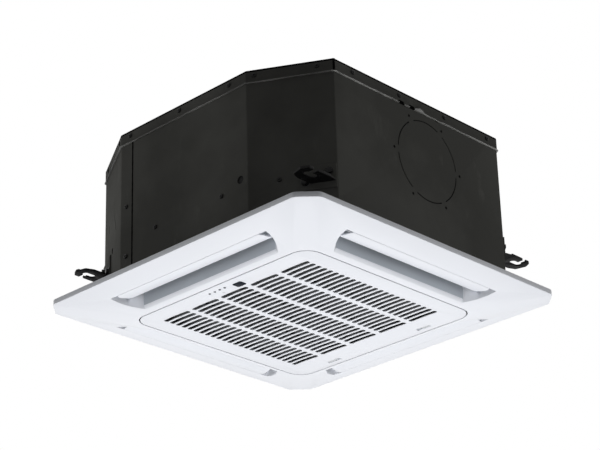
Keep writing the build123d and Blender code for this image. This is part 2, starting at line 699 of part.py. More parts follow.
def louvre():
    """Vane of the -Y outlet: outer edge flush with the panel, inner edge raised."""
    low = [(279.3, -18.7), (261.4, -17.1), (243.0, -10.2)]
    high = [(243.3, -8.0), (262.0, -14.4), (279.0, -16.7)]
    edges = [ThreePointArc(*low), Line(low[2], high[0]), ThreePointArc(*high), Line(high[2], low[0])]
    section = make_face(edges)
    across = Plane(origin=(0, 0, 0), x_dir=(0, -1, 0), z_dir=(-1, 0, 0))
    blade = extrude(across * section, amount=180, both=True)
    plan = Polygon((-171, -240), (171, -240), (176, -281), (-176, -281), align=None)
    plan = fillet(plan.vertices(), radius=9)
    vane = blade & prism(plan, -30, 5)
    for side in (-1, 1):
        x0 = 166 if side > 0 else -168.5
        ear = rod((x0, -VANE_R, VANE_Z), (1, 0, 0), 2.5, 4.5)
        vane += ear
        vane += rod((side * 166, -VANE_R, VANE_Z), (side, 0, 0), 20, VANE_PIN_R)
    return vane


def louvre_motor():
    motor = rod((190, -VANE_R, VANE_Z), (1, 0, 0), 16, 10)
    motor += rod((186.1, -VANE_R, VANE_Z), (1, 0, 0), 4, VANE_PIN_R)
    return motor + box(190, 191.5, -VANE_R - 14, -VANE_R + 14, VANE_Z - 3.5, VANE_Z + 3.5)


# ---- grille -------------------------------------------------------------
def grille_slots():
    half, low, high = SLOT_W / 2, -SLOT_H / 2, SLOT_H / 2
    lower = ThreePointArc((-half, low), (0, low - SLOT_BOW), (half, low))
    upper = ThreePointArc((half, high), (0, high - SLOT_BOW), (-half, high))
    face = make_face([lower, Line(lower @ 1, upper @ 0), upper, Line(upper @ 1, lower @ 0)])
    slot = Pos(0, GRID_Y + SLOT_BOW / 2) * fillet(face.vertices(), radius=SLOT_R)
    return [loc * slot for loc in GridLocations(SLOT_PITCH_X, SLOT_PITCH_Y, SLOT_COLS, SLOT_ROWS)]


LED_X, LED_Y = (-32.6, -20.4, -8.2, 4.0), -194.7
BUTTON = (-12.4, -181.0)
WINDOW = (31.5, -187.0)


def intake_grille():
    plan = square(GRILLE_HALF, GRILLE_R) - grille_slots()
    plan -= [Pos(x, LED_Y) * Circle(1.2) for x in LED_X]
    plan -= [Pos(*BUTTON) * Circle(2.6), Pos(*WINDOW) * RectangleRounded(16, 13, 2)]
    for side in (-1, 1):
        plan -= Pos(side * LATCH_X, LATCH_Y) * Rectangle(30, 7.6)
    top = FACE_Z + GRILLE_T
    relief = Pos(0, GRID_Y) * Rectangle(SLOT_PITCH_X * SLOT_COLS - 6, SLOT_PITCH_Y * SLOT_ROWS)
    face = prism(plan, FACE_Z, top) - prism(relief, FACE_Z + SLOT_T, top + 1)
    rib = prism(ring(square(208, 28), square(206, 26)), top, -25)
    rib -= [box(s * LATCH_X - 20, s * LATCH_X + 20, 200, 212, top, -20) for s in (-1, 1)]
    eyes = []
    for side in (-1, 1):
        eyes.append(rod((side * 203.5, HINGE_Y, HINGE_Z), (side, 0, 0), 4, 3.6))
        eyes.append(box(side * 205.5 - 2, side * 205.5 + 2, HINGE_Y - 3.6, HINGE_Y + 3.6, top, HINGE_Z))
    posts = [post(sx * 180, sy * 171, top, -25, 2.5) for sx in (-1, 1) for sy in (-1, 1)]
    ends = [(k - 1.5) * SLOT_PITCH_X for k in range(4)]
    bars = [box(x - 1, x + 1, GRID_Y - 167, GRID_Y + 167, FACE_Z + SLOT_T, -26) for x in ends]
    bore = rod((-212, HINGE_Y, HINGE_Z), (1, 0, 0), 424, HINGE_R + RUNNING)
    return face + [rib] + eyes + posts + bars - bore


def filter_frame():
    edge = ring(Rectangle(362, 348), Rectangle(350, 336))
    bars = [Pos(x, 0) * Rectangle(3, 340) for x in (-87.5, 0, 87.5)]
    bars += [Pos(0, y) * Rectangle(354, 3) for y in (-84, 0, 84)]
    return prism(edge + bars, -25, -21)


def filter_mesh():
    return prism(Rectangle(360, 346), -21, -20.5)


def latch(side):
    """Sliding catch: thumb pad in the window, carrier plate and tongue behind it."""
    x = side * (LATCH_X + 5)
    top = FACE_Z + GRILLE_T
    pad = box(x - 9, x + 9, LATCH_Y - 3.4, LATCH_Y + 3.4, FACE_Z + 0.4, top + 0.2)
    ridge = box(x - 8, x + 8, LATCH_Y - 0.8, LATCH_Y + 0.8, FACE_Z - 0.4, FACE_Z + 0.5)
    carrier = box(x - 21, x + 21, LATCH_Y - 6, LATCH_Y + 6, top + 0.2, top + 2.2)
    tongue = box(x - 5, x + 5, LATCH_Y, 212.4, top + 2.2, top + 4.7)
    return pad + ridge + carrier + tongue


def display_window():
    pane = prism(RectangleRounded(16, 13, 2), FACE_Z + 0.1, FACE_Z + GRILLE_T)
    return Pos(*WINDOW, 0) * (pane + prism(RectangleRounded(19, 16, 2), FACE_Z + GRILLE_T, -30.6))


def display_board():
    top = FACE_Z + GRILLE_T
    board = box(-44, 51, -203, -176.5, -28, -26.4)
    standoffs = [post(x, y, top, -28, 2) for x in (-40, 47) for y in (-200, -180)]
    leds = [post(x, LED_Y, FACE_Z + 0.05, -28, 1.2) for x in LED_X]
    receiver = box(WINDOW[0] - 4, WINDOW[0] + 4, WINDOW[1] - 4, WINDOW[1] + 4, -30.6, -28)
    switch = box(BUTTON[0] - 3, BUTTON[0] + 3, BUTTON[1] - 3, BUTTON[1] + 3, -29.5, -28)
    return [board + standoffs + [receiver, switch]] + leds


def test_button():
    top = FACE_Z + GRILLE_T
    return post(*BUTTON, FACE_Z + 0.1, top, 2.5) + post(*BUTTON, top, top + 0.9, 3.6)


# ---- write every piece ---------------------------------------------------
def main():
    os.makedirs("parts", exist_ok=True)
    rim_screws, body_screws, bolts = lid_screws(), casing_screws(), hanger_bolts()
    front, rear = side_plates(rim_screws + body_screws)
    save("top_cover", lid(rim_screws))
    save("side_plate_front", front)
    save("side_plate_rear", rear)
    save("lid_screws", group(rim_screws))
    save("casing_screws", group(body_screws + cover_screws()))
    for i, piece in enumerate(mirrored_corners(hanger())):
        save(f"hanger_{i + 1}", piece)
    save("hanger_bolts", group(bolts))
    save("wall_insulation", group(wall_insulation(rim_screws + body_screws + cover_screws() + bolts)))
    save("top_insulation", top_insulation())
    save("cable_gland", cable_gland())

    save("drain_pan", drain_pan())
    save("bell_mouth", bell_mouth())
    save("coil_fins", coil_fins())
    save("coil_tubes", group([Pos(0, 0, z) * coil_tube() for z in tube_heights()]))
    save("coil_end_plates", group(tube_sheets()))
    save("coil_baffle", coil_baffle())
    save("gas_pipe", header(-ROW_IN, 17, 7.0, GAS_R, PIPE_GAS))
    save("liquid_pipe", header(-ROW_OUT, 10, 4.0, LIQUID_R, PIPE_LIQUID))
    unions = [flare_union(*PIPE_GAS, GAS_R, 22, 9.53, 16), flare_union(*PIPE_LIQUID, LIQUID_R, 14, 5.56, 13)]
    save("flare_unions", group(unions))
    save("pipe_cover", pipe_cover())

    save("fan_wheel", fan_wheel())
    save("fan_shroud", fan_shroud())
    save("fan_nut", group(fan_nut()))
    save("motor_shaft", motor_shaft())
    save("motor_rotor", motor_rotor())
    save("motor_housing", motor_housing())
    save("motor_stator", motor_stator())
    save("motor_bearings", group(motor_bearings()))
    save("motor_mounts", group(motor_mounts()))
    save("motor_bolts", group(motor_bolts()))

    save("drain_pump", drain_pump())
    save("pump_impeller", pump_impeller())
    save("pump_bracket", pump_bracket())
    save("float_ring", float_ring())
    save("drain_hose", drain_hose())
    save("drain_spigot", drain_spigot())

    save("control_box", control_box())
    save("control_box_cover", control_box_cover())
    save("control_board", group(control_board()))
    save("terminal_block", terminal_block())

    save("panel_frame", panel_frame())
    save("panel_gasket", panel_gasket())
    save("panel_screws", group(panel_screws()))
    for k in range(4):
        save(f"louvre_{k + 1}", quarter(louvre(), k))
    save("louvre_motors", group([quarter(louvre_motor(), k) for k in range(4)]))
    save("hinge_pins", group(hinge_pins()))

    save("intake_grille", intake_grille())
    save("filter_frame", filter_frame())
    save("filter_mesh", filter_mesh())
    save("latch_left", latch(-1))
    save("latch_right", latch(1))
    save("display_window", display_window())
    save("display_board", group(display_board()))
    save("test_button", test_button())


main()
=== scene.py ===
"""Finishes, softened mouldings and a plain studio for a ceiling cassette air conditioner.

Lengths are in metres in the part's own frame: z = 0 is the ceiling's underside and +Z
points up, the casing's longer faces look along -X and +X, the grille hinges at -Y.
"""
import json
import math

import bmesh
import bpy
from bpy.props import FloatProperty, FloatVectorProperty, PointerProperty
from mathutils import Matrix, Vector


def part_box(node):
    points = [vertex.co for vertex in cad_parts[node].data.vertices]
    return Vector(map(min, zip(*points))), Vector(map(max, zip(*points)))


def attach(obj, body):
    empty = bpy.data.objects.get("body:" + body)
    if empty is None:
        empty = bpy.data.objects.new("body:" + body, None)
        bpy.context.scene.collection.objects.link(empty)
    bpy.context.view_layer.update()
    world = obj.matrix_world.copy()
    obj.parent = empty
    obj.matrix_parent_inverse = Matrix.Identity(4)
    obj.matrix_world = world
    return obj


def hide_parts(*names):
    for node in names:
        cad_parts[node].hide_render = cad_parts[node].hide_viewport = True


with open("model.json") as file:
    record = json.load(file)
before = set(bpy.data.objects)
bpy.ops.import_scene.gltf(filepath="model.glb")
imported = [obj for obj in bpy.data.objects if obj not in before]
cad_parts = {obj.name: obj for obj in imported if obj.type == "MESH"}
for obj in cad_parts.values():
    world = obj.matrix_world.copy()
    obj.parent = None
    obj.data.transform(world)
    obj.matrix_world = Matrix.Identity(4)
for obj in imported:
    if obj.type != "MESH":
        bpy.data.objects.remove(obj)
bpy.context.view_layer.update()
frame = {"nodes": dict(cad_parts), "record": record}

bl_info = {
    "name": "Ceiling cassette dressing",
    "version": (1, 0, 0),
    "blender": (4, 5, 0),
    "location": "3D View > Sidebar > Cassette",
    "description": "Dresses the packed cassette air conditioner and sets its studio",
    "category": "Object",
}

NODES = frame["nodes"]
SLOT_OF = {entry["node"]: entry["material_slot"] for entry in frame["record"]["subparts"]}

SHARP_TURN = math.radians(25.0)       # edges that turn by more are rounded
FLAT_TURN = math.radians(0.6)         # faces that turn by less are merged
SAME_POINT = 0.00001                  # points nearer than this are merged
FLUSH = 0.0003                        # how near a point lies that counts as on a surface
UPRIGHT = 0.05                        # faces whose normal rises less count as upright

# the casing's octagon, as the model has it
CASE_HALF = 0.2875
CASE_FLAT_X, CASE_FLAT_Y = 0.1575, 0.2125
CORNER_NORMAL = Vector((CASE_HALF - CASE_FLAT_Y, CASE_HALF - CASE_FLAT_X)).normalized()
CORNER_DIST = CORNER_NORMAL.dot(Vector((CASE_FLAT_X, CASE_HALF)))
SHEET = 0.0012

# the lid
LID_LOW, LID_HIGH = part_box("top_cover")
LID_BEND, SHADE_BAND = 0.0020, 0.0022  # radius of the top bend, depth of the painted shade band under it
LID_RIM, LID_CORNER = 0.012, 0.003    # width of the flat rim, radius of the corners in plan
CORNER_STEPS, SIDE_STEPS = 3, 96
# the hem's lower edge is lighter as bare metal and as a painted highlight; the black is painted
# shade
LID_FINISHES = ("bare_edge", "folded_edge", "dull_edge")
BARE_HIGHLIGHT, PAINTED_SHADE, DULL_HIGHLIGHT = 1, 2, 3          # their places in the lid's list of materials

# the lid's hem: its section as (out, height), and how the +X side is beaten, along Y
HEM_SECTION = ((SHEET, 0.0060), (SHEET, 0.0032), (0.0018, 0.0016), (0.0031, 0.0009),
               (0.0034, 0.0003), (0.0028, 0.0), (0.0001, 0.0), (0.0001, 0.004))
HEM_EDGE, HEM_INNER = 0.0014, 0.0006  # height of the lighter edge band, partly a painted highlight, least reach of a dent
HEM_FROM_X = CASE_HALF - 0.01
HEM_OUT_WAVES = ((0.00025, 61.0, 47.0), (0.0002, 173.0, -131.0))  # depth, turns along X and Y
HEM_UP_WAVES = ((0.0002, 29.0, 83.0),)
HEM_NICKS, NICK_DEPTH = ((-0.046, 0.009), (-0.020, 0.008)), 0.0040  # middles, half widths
NICK_SHOWS = 0.25                     # how far into a nick its painted shade shows
HEM_SWELLS = ((-0.033, 0.020, 0.0010), (0.148, 0.018, 0.0006))  # and depths
HEM_SAGS = ((0.050, 0.010, 0.0018),)
HEM_TAB, TAB_ROWS = (0.001, 0.018), 3.5  # and the rows over which the lifted tab runs out
TAB_UP, TAB_OUT = 0.0062, 0.0030

# the side plates' folds and seams
FOLD_LENGTH, FOLD_ROUND = 0.1, 0.0011
FOLD_LEAST, FOLD_MOST = math.radians(20.0), math.radians(70.0)
SEAM_X = 0.1276
WALL_LOW, WALL_HIGH = 0.0252, 0.2588
# dark beads in the front and rear seams and in the lid's corner seam paint their shade
SEAM_BEAD, SEAM_SUNK = (0.0020, 0.0003), 0.0001  # half width and height, and how deep it sits
CORNER_SHADE_BEAD, CORNER_SHADE_SUNK = (0.0019, 0.0007), 0.0003
CORNER_SHADE_LOW, CORNER_SHADE_HIGH = LID_LOW.z + 0.0016, LID_HIGH.z - 0.0012
CORNER_SHADE_AT = 6                       # the lid's corner between -Y and +X, on its +X end
BEAD_STEPS, BEAD_WAVES = 40, ((0.10, 2.7), (0.06, 7.1))

# the hangers
PLATE_TOP, PLATE_START = 0.0605, 0.006  # the plates' upper face, and where they clear the casing
LIP_ROOT, LIP_RISE = 0.003, 0.0020    # the lip's points lie above the one, and go to the other
BACK_PLATE = 0.0028                   # thickness of the back plates, and a little

# the outlets and louvres, measured from the centre
DUCT_WALL = 0.230                     # the outlets' inner walls
GREY_BAND_LOW = -0.0252                   # lower edge of the grey band on them
LIP_Z, DOME_SLOPE = -0.0302, 0.19     # where the walls meet the domed face, and how it rises
LIP_SPAN, LIP_HALF = 0.010, 0.19      # the inner lips' width and half length
LIP_DEPTH, LIP_FALL = 0.0045, 0.18    # how far the lips are chamfered, and their fall over that
FACES_OUT = 0.6                       # walls whose normal points outwards by more are grey above it
BLADE_EDGE, BLADE_REACH = 0.2785, 0.0010  # the louvres' outer edges, and how far they move out
BLADE_ROUND = 0.0006

# the grille's lamps and receiver window
FACE_Z = -0.034
LED_X, LED_Y = (-0.0326, -0.0204, -0.0082, 0.0040), -0.1947
LAMP_SECTION = ((0.0004, -0.0280), (0.0013, -0.0282), (0.0013, FACE_Z),
                (0.0023, FACE_Z - 0.0001), (0.0022, FACE_Z - 0.0004),
                (0.0014, FACE_Z - 0.0006), (0.0004, FACE_Z - 0.0006))
LAMP_STEPS = 20
WINDOW, WINDOW_HALF, WINDOW_CORNER = (0.0315, -0.187), (0.0104, 0.0084), 0.0038
WINDOW_LEVELS = ((0.0010, -0.0306), (0.0010, FACE_Z), (0.0, FACE_Z - 0.0001),
                 (0.0002, FACE_Z - 0.0004), (0.0012, FACE_Z - 0.0006))
WINDOW_STEPS = 32

# the screws and bolts, as (radius, z) from the head's seat, and their heads' heights
FASTENER_STEPS = 28
PAN_SECTION = ((0.0018, -0.0088), (0.0020, -0.0080), (0.0020, -0.0001), (0.0041, 0.0),
               (0.0042, 0.0004), (0.0042, 0.0010), (0.0039, 0.0016), (0.0033, 0.0021),
               (0.0024, 0.00235), (0.0010, 0.0024))
PAN_HEIGHT = 0.0024
CROSS_RECESS = (0.0023, 0.0005, 0.0030, 0.0022)  # half length and width of the arms, top, depth
BOLT_SECTION = ((0.0026, -0.0128), (0.0030, -0.0120), (0.0030, -0.0001), (0.0069, 0.0),
                (0.0070, 0.0003), (0.0070, 0.0010), (0.0066, 0.0014), (0.0010, 0.0014))
BOLT_CROWN, BOLT_DEPTH, BOLT_MIDDLE = 0.0058, 0.0041, 0.00335
BOLT_HEIGHT, BOLT_ROUND = 0.0054, 0.0006


# ---- what a user would change --------------------------------------------
class CassetteSizes(bpy.types.PropertyGroup):
    """Edge roundings of the softened pieces."""

    moulding_round: FloatProperty(
        name="Moulding rounding", description="Edge radius of the white mouldings",
        default=0.0007, min=0.0, unit="LENGTH")
    sheet_round: FloatProperty(
        name="Sheet rounding", description="Edge radius of the folded sheet metal",
        default=0.0005, min=0.0, unit="LENGTH")
    small_round: FloatProperty(
        name="Small rounding", description="Edge radius of catches, keys and screws",
        default=0.0003, min=0.0, unit="LENGTH")


class CassetteColours(bpy.types.PropertyGroup):
    """Colours of the main finishes, in linear light."""

    casing: FloatVectorProperty(
        name="Casing", description="Dark coated sheet metal", subtype="COLOR",
        default=(0.095, 0.095, 0.088), min=0.0, max=1.0)
    bracket: FloatVectorProperty(
        name="Bracket", description="Black painted hanger brackets", subtype="COLOR",
        default=(0.005, 0.005, 0.005), min=0.0, max=1.0)
    panel: FloatVectorProperty(
        name="Panel", description="White panel and louvres", subtype="COLOR",
        default=(0.86, 0.88, 0.93), min=0.0, max=1.0)
    grille: FloatVectorProperty(
        name="Grille", description="White intake grille", subtype="COLOR",
        default=(0.84, 0.86, 0.91), min=0.0, max=1.0)


class CassetteStudio(bpy.types.PropertyGroup):
    """Light levels of the studio."""

    ambient: FloatProperty(
        name="Ambient", description="Strength of the plain surrounding light",
        default=0.12, min=0.0)
    below: FloatProperty(
        name="From below", description="Power of the soft light under the panel",
        default=53.0, min=0.0, subtype="POWER")
    left: FloatProperty(
        name="From the left", description="Power of the light on the left corner",
        default=25.0, min=0.0, subtype="POWER")
    right: FloatProperty(
        name="From the right", description="Power of the light on the right face",
        default=20.0, min=0.0, subtype="POWER")
    behind: FloatProperty(
        name="From behind", description="Power of the light on the lid and the far faces",
        default=45.0, min=0.0, subtype="POWER")


# ---- finishes ------------------------------------------------------------
class Finish:
    """One material: a surface and the textures that feed it."""

    def __init__(self, name, colour, roughness, metallic=0.0, specular=0.5):
        self.material = bpy.data.materials.new(name)
        self.material.use_nodes = True
        self.tree = self.material.node_tree
        self.shader = self.tree.nodes["Principled BSDF"]
        self.colour = (*colour, 1.0)
        self.roughness = roughness
        self.shader.inputs["Base Color"].default_value = self.colour
        self.shader.inputs["Roughness"].default_value = roughness
        self.shader.inputs["Metallic"].default_value = metallic
        self.shader.inputs["Specular IOR Level"].default_value = specular
        self.place = self.add("ShaderNodeTexCoord").outputs["Object"]

    def add(self, kind, **settings):
        """A new node of the material, with its settings."""
        node = self.tree.nodes.new(kind)
        for key, value in settings.items():
            setattr(node, key, value)
        return node

    def join(self, source, node, socket):
        """Feeds a socket from a number, a colour or another node's output."""
        if isinstance(source, (int, float, tuple)):
            node.inputs[socket].default_value = source
        else:
            self.tree.links.new(source, node.inputs[socket])

    def stretched(self, scale):
        """Object coordinates, squeezed by a factor along each axis."""
        mapping = self.add("ShaderNodeMapping")
        self.join(self.place, mapping, "Vector")
        mapping.inputs["Scale"].default_value = scale
        return mapping.outputs["Vector"]

    def noise(self, scale, detail=3.0, rough=0.55, stretch=(1, 1, 1)):
        node = self.add("ShaderNodeTexNoise")
        self.join(self.stretched(stretch), node, "Vector")
        node.inputs["Scale"].default_value = scale
        node.inputs["Detail"].default_value = detail
        node.inputs["Roughness"].default_value = rough
        return node.outputs["Fac"]

    def cells(self, scale, feature="F1", output="Distance"):
        node = self.add("ShaderNodeTexVoronoi", feature=feature)
        self.join(self.place, node, "Vector")
        node.inputs["Scale"].default_value = scale
        return node.outputs[output]

    def bands(self, scale, axis):
        node = self.add("ShaderNodeTexWave", wave_type="BANDS", bands_direction=axis)
        self.join(self.place, node, "Vector")
        node.inputs["Scale"].default_value = scale
        return node.outputs["Fac"]

    def spread(self, value, low, high, to_low=0.0, to_high=1.0):
        """The stretch low..high of a value, mapped to to_low..to_high."""
        node = self.add("ShaderNodeMapRange")
        self.join(value, node, "Value")
        for socket, number in (("From Min", low), ("From Max", high),
                               ("To Min", to_low), ("To Max", to_high)):
            node.inputs[socket].default_value = number
        return node.outputs["Result"]

    def sum(self, a, b, operation="ADD"):
        node = self.add("ShaderNodeMath", operation=operation)
        self.join(a, node, 0)
        self.join(b, node, 1)
        return node.outputs["Value"]

    def shade(self, factor, other, base=None):
        """Blends the base colour towards another one by a factor."""
        node = self.add("ShaderNodeMix", data_type="RGBA")
        self.join(factor, node, 0)
        self.join(self.colour if base is None else base, node, 6)
        self.join((*other, 1.0) if isinstance(other, tuple) else other, node, 7)
        result = node.outputs[2]
        self.tree.links.new(result, self.shader.inputs["Base Color"])
        return result

    def vary_roughness(self, value, amount):
        result = self.spread(value, 0.25, 0.75, self.roughness - amount, self.roughness + amount)
        self.tree.links.new(result, self.shader.inputs["Roughness"])

    def relief(self, height, distance, edge=0.0):
        """Bump from a height, over normals rounded at the edges."""
        bump = self.add("ShaderNodeBump")
        bump.inputs["Distance"].default_value = distance
        bump.inputs["Strength"].default_value = 1.0
        self.join(height, bump, "Height")
        if edge:
            rounded = self.add("ShaderNodeBevel", samples=4)
            rounded.inputs["Radius"].default_value = edge
            self.tree.links.new(rounded.outputs["Normal"], bump.inputs["Normal"])
        self.tree.links.new(bump.outputs["Normal"], self.shader.inputs["Normal"])

    def edge_mask(self, radius):
        """1 on convex and concave edges, 0 on the open surface."""
        rounded = self.add("ShaderNodeBevel", samples=6)
        rounded.inputs["Radius"].default_value = radius
        flat = self.add("ShaderNodeNewGeometry").outputs["Normal"]
        dot = self.add("ShaderNodeVectorMath", operation="DOT_PRODUCT")
        self.tree.links.new(rounded.outputs["Normal"], dot.inputs[0])
        self.tree.links.new(flat, dot.inputs[1])
        return self.spread(dot.outputs["Value"], 0.98, 0.80)


def scaled(colour, factor):
    """A colour made darker or lighter by a factor, up to white."""
    return tuple(min(1.0, factor * channel) for channel in colour)


def coated_sheet(name, colour, edge_wear_and_highlight, specular=0.004, roughness=0.58):
    """Dark coated steel: faint clouds and rub marks, edges lightened for wear and as a painted
    highlight.
    """
    finish = Finish(name, colour, roughness, specular=specular)
    clouds = finish.noise(5.0, detail=4.0)
    rubs = finish.noise(24.0, detail=6.0, rough=0.7, stretch=(1, 1, 0.35))
    base = finish.shade(finish.spread(clouds, 0.42, 0.66, 0.0, 0.55), scaled(colour, 1.7))
    base = finish.shade(finish.spread(rubs, 0.60, 0.78, 0.0, 0.35), scaled(colour, 2.2), base)
    # lighter edges: partly worn coating, partly a painted edge highlight
    finish.shade(finish.sum(finish.edge_mask(0.0006), edge_wear_and_highlight, "MULTIPLY"), (0.20, 0.20, 0.19), base)
    finish.vary_roughness(rubs, 0.08)
    grain = finish.noise(1500.0, detail=2.0)
    finish.relief(grain, 0.00004, edge=0.0005)
    return finish.material


def moulded(name, colour, roughness=0.40, tint=0.03, specular=0.4, grain=0.00002):
    """Fine matt moulded plastic."""
    finish = Finish(name, colour, roughness, specular=specular)
    drift = finish.noise(3.0, detail=2.0)
    finish.shade(finish.spread(drift, 0.35, 0.65), scaled(colour, 1.0 - tint))
    texture = finish.noise(2600.0, detail=2.0)
    finish.vary_roughness(texture, 0.04)
    finish.relief(texture, grain, edge=0.0004)
    return finish.material


def gloss_window(name, colour):
    """Smoked, polished lens."""
    finish = Finish(name, colour, 0.22, specular=0.02)
    haze = finish.noise(160.0, detail=2.0)
    finish.shade(finish.spread(haze, 0.4, 0.7, 0.0, 0.3), scaled(colour, 1.5))
    finish.vary_roughness(haze, 0.05)
    return finish.material


def foam(name, colour, cell=900.0):
    """Closed-cell foam with a pitted skin."""
    finish = Finish(name, colour, 0.85, specular=0.2)
    pits = finish.cells(cell)
    clouds = finish.noise(18.0)
    base = finish.shade(finish.spread(pits, 0.1, 0.6, 0.0, 0.5), scaled(colour, 0.55))
    finish.shade(finish.spread(clouds, 0.4, 0.7, 0.0, 0.3), scaled(colour, 1.25), base)
    finish.relief(pits, 0.0003)
    return finish.material


def plated(name, colour, spangle):
    """Galvanised or zinc-plated steel with a faint crystal pattern."""
    finish = Finish(name, colour, 0.32, metallic=1.0)
    crystals = finish.cells(spangle, output="Color")
    tone = finish.add("ShaderNodeSeparateColor")
    finish.tree.links.new(crystals, tone.inputs["Color"])
    finish.shade(finish.spread(tone.outputs["Red"], 0.0, 1.0, 0.0, 0.45), scaled(colour, 0.72))
    finish.vary_roughness(tone.outputs["Green"], 0.10)
    finish.relief(finish.noise(900.0), 0.00003, edge=0.0003)
    return finish.material


def turned_metal(name, colour, tarnished=0.0):
    """Drawn tube or turned metal with fine rings and a little tarnish."""
    finish = Finish(name, colour, 0.28, metallic=1.0)
    rings = finish.noise(420.0, detail=3.0, stretch=(0.2, 0.2, 1.0))
    tarnish = finish.noise(30.0, detail=4.0)
    base = finish.shade(finish.spread(rings, 0.3, 0.7, 0.0, 0.2), scaled(colour, 0.8))
    finish.shade(finish.spread(tarnish, 0.50, 0.75, 0.0, tarnished), (0.25, 0.14, 0.08), base)
    finish.vary_roughness(rings, 0.08)
    finish.relief(rings, 0.00002, edge=0.0003)
    return finish.material


def fin_pack(name, colour):
    """Bare aluminium fins: fine upright lines, slightly combed."""
    finish = Finish(name, colour, 0.36, metallic=1.0)
    lines = finish.noise(700.0, detail=1.0, stretch=(1.0, 1.0, 0.02))
    finish.shade(finish.spread(lines, 0.35, 0.65, 0.0, 0.6), scaled(colour, 0.45))
    finish.vary_roughness(lines, 0.08)
    finish.relief(lines, 0.0003)
    return finish.material


def circuit_board(name, colour):
    """Green solder mask with faint tracks and pads."""
    finish = Finish(name, colour, 0.30, specular=0.5)
    blocks = finish.cells(260.0, output="Color")
    tone = finish.add("ShaderNodeSeparateColor")
    finish.tree.links.new(blocks, tone.inputs["Color"])
    base = finish.shade(finish.spread(tone.outputs["Red"], 0.55, 0.6, 0.0, 0.5),
                        scaled(colour, 1.6))
    pads = finish.cells(420.0)
    finish.shade(finish.spread(pads, 0.16, 0.12, 0.0, 0.8), (0.55, 0.50, 0.35), base)
    finish.relief(tone.outputs["Red"], 0.00005)
    return finish.material


def woven_net(name, colour):
    """Fine filter net, woven square."""
    finish = Finish(name, colour, 0.65, specular=0.3)
    weave = finish.sum(finish.bands(170.0, "X"), finish.bands(170.0, "Y"), "MAXIMUM")
    finish.shade(finish.spread(weave, 0.5, 0.95), scaled(colour, 0.25))
    finish.relief(weave, 0.0002)
    return finish.material


def raw_edge(name, colour):
    """Cut and bent sheet edge where the coating has gone, made light also to paint its highlight.
    """
    finish = Finish(name, colour, 0.45, specular=0.4)
    chips = finish.noise(160.0, detail=5.0, rough=0.7)
    worn = finish.noise(14.0, detail=2.0)
    base = finish.shade(finish.spread(chips, 0.50, 0.70), scaled(colour, 0.5))
    finish.shade(finish.spread(worn, 0.42, 0.58), scaled(colour, 0.45), base)
    finish.vary_roughness(chips, 0.1)
    finish.relief(chips, 0.0001)
    return finish.material


def slot_finishes(colours):
    """One material for each material slot of the record."""
    return {
        "casing_grey": coated_sheet("casing_coating", tuple(colours.casing), 0.10),
        "bracket_black": coated_sheet("bracket_paint", tuple(colours.bracket), 0.06,
                                      specular=0.10),
        "screw_black": coated_sheet("black_screw_plate", (0.004, 0.004, 0.004), 0.04,
                                    specular=0.10, roughness=0.32),
        "zinc": plated("zinc_plate", (0.42, 0.42, 0.40), spangle=500.0),
        "shaft_steel": turned_metal("ground_steel", (0.50, 0.50, 0.49)),
        "panel_white": moulded("panel_plastic", tuple(colours.panel)),
        "grille_white": moulded("grille_plastic", tuple(colours.grille)),
        "catch_grey": moulded("catch_plastic", (0.66, 0.68, 0.70), roughness=0.35),
        "window_dark": gloss_window("receiver_smoke", (0.008, 0.011, 0.018)),
        "foam_black": foam("lining_foam", (0.022, 0.022, 0.022)),
        "pan_white": foam("pan_foam", (0.72, 0.72, 0.70), cell=500.0),
        "fan_grey": moulded("fan_plastic", (0.045, 0.046, 0.050), roughness=0.45, tint=0.2),
        "fin_aluminium": fin_pack("fin_aluminium", (0.66, 0.68, 0.70)),
        "copper": turned_metal("copper_tube", (0.78, 0.38, 0.24), tarnished=0.45),
        "union_brass": turned_metal("union_brass", (0.72, 0.55, 0.28), tarnished=0.2),
        "plate_steel": plated("galvanised_plate", (0.52, 0.53, 0.54), spangle=90.0),
        "black_plastic": moulded("black_plastic", (0.016, 0.016, 0.017), roughness=0.5, tint=0.3),
        "grey_hose": moulded("hose_plastic", (0.34, 0.34, 0.34), roughness=0.5, tint=0.1),
        "board_green": circuit_board("board_mask", (0.025, 0.12, 0.045)),
        "mesh_grey": woven_net("filter_net", (0.10, 0.105, 0.11)),
        "mount_rubber": foam("mount_rubber", (0.02, 0.02, 0.02), cell=2000.0),
    }


FINISH_NAMES = {}                     # the name of each slot's material, once made


def finish_for(slot):
    """The material of a slot."""
    return bpy.data.materials[FINISH_NAMES[slot]]


# ---- shaping helpers -------------------------------------------------------
def copy_of(node):
    """A clean copy of a node's surface: merged points, flat areas as single faces."""
    bm = bmesh.new()
    bm.from_mesh(NODES[node].data)
    bmesh.ops.remove_doubles(bm, verts=bm.verts, dist=SAME_POINT)
    bmesh.ops.dissolve_limit(bm, angle_limit=FLAT_TURN, verts=bm.verts, edges=bm.edges,
                             delimit={"NORMAL"})
    return bm


def round_edges(bm, edges, radius, segments):
    """Bevels edges to a round."""
    bmesh.ops.bevel(bm, geom=edges, offset=radius, offset_type="OFFSET", affect="EDGES",
                    segments=segments, profile=0.5, clamp_overlap=True, material=-1)


def soften(bm, radius, segments=2):
    """Rounds every sharp edge."""
    edges = [e for e in bm.edges if e.is_manifold and e.calc_face_angle(0.0) > SHARP_TURN]
    round_edges(bm, edges, radius, segments)
    return bm


def place(name, bm, body, slot, replaced=(), smooth=32.0):
    """Turns a shape into a finished piece that rides on a body."""
    mesh = bpy.data.meshes.new(name)
    bm.to_mesh(mesh)
    bm.free()
    for polygon in mesh.polygons:
        polygon.use_smooth = True
    mesh.set_sharp_from_angle(angle=math.radians(smooth))
    mesh.materials.append(finish_for(slot))
    piece = bpy.data.objects.new(name, mesh)
    bpy.context.scene.collection.objects.link(piece)
    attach(piece, body)
    if replaced:
        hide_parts(*replaced)
    return piece


def softened_piece(name, node, body, radius):
    """Places a node's own shape with its sharp edges rounded."""
    place(name, soften(copy_of(node), radius), body, SLOT_OF[node], [node])


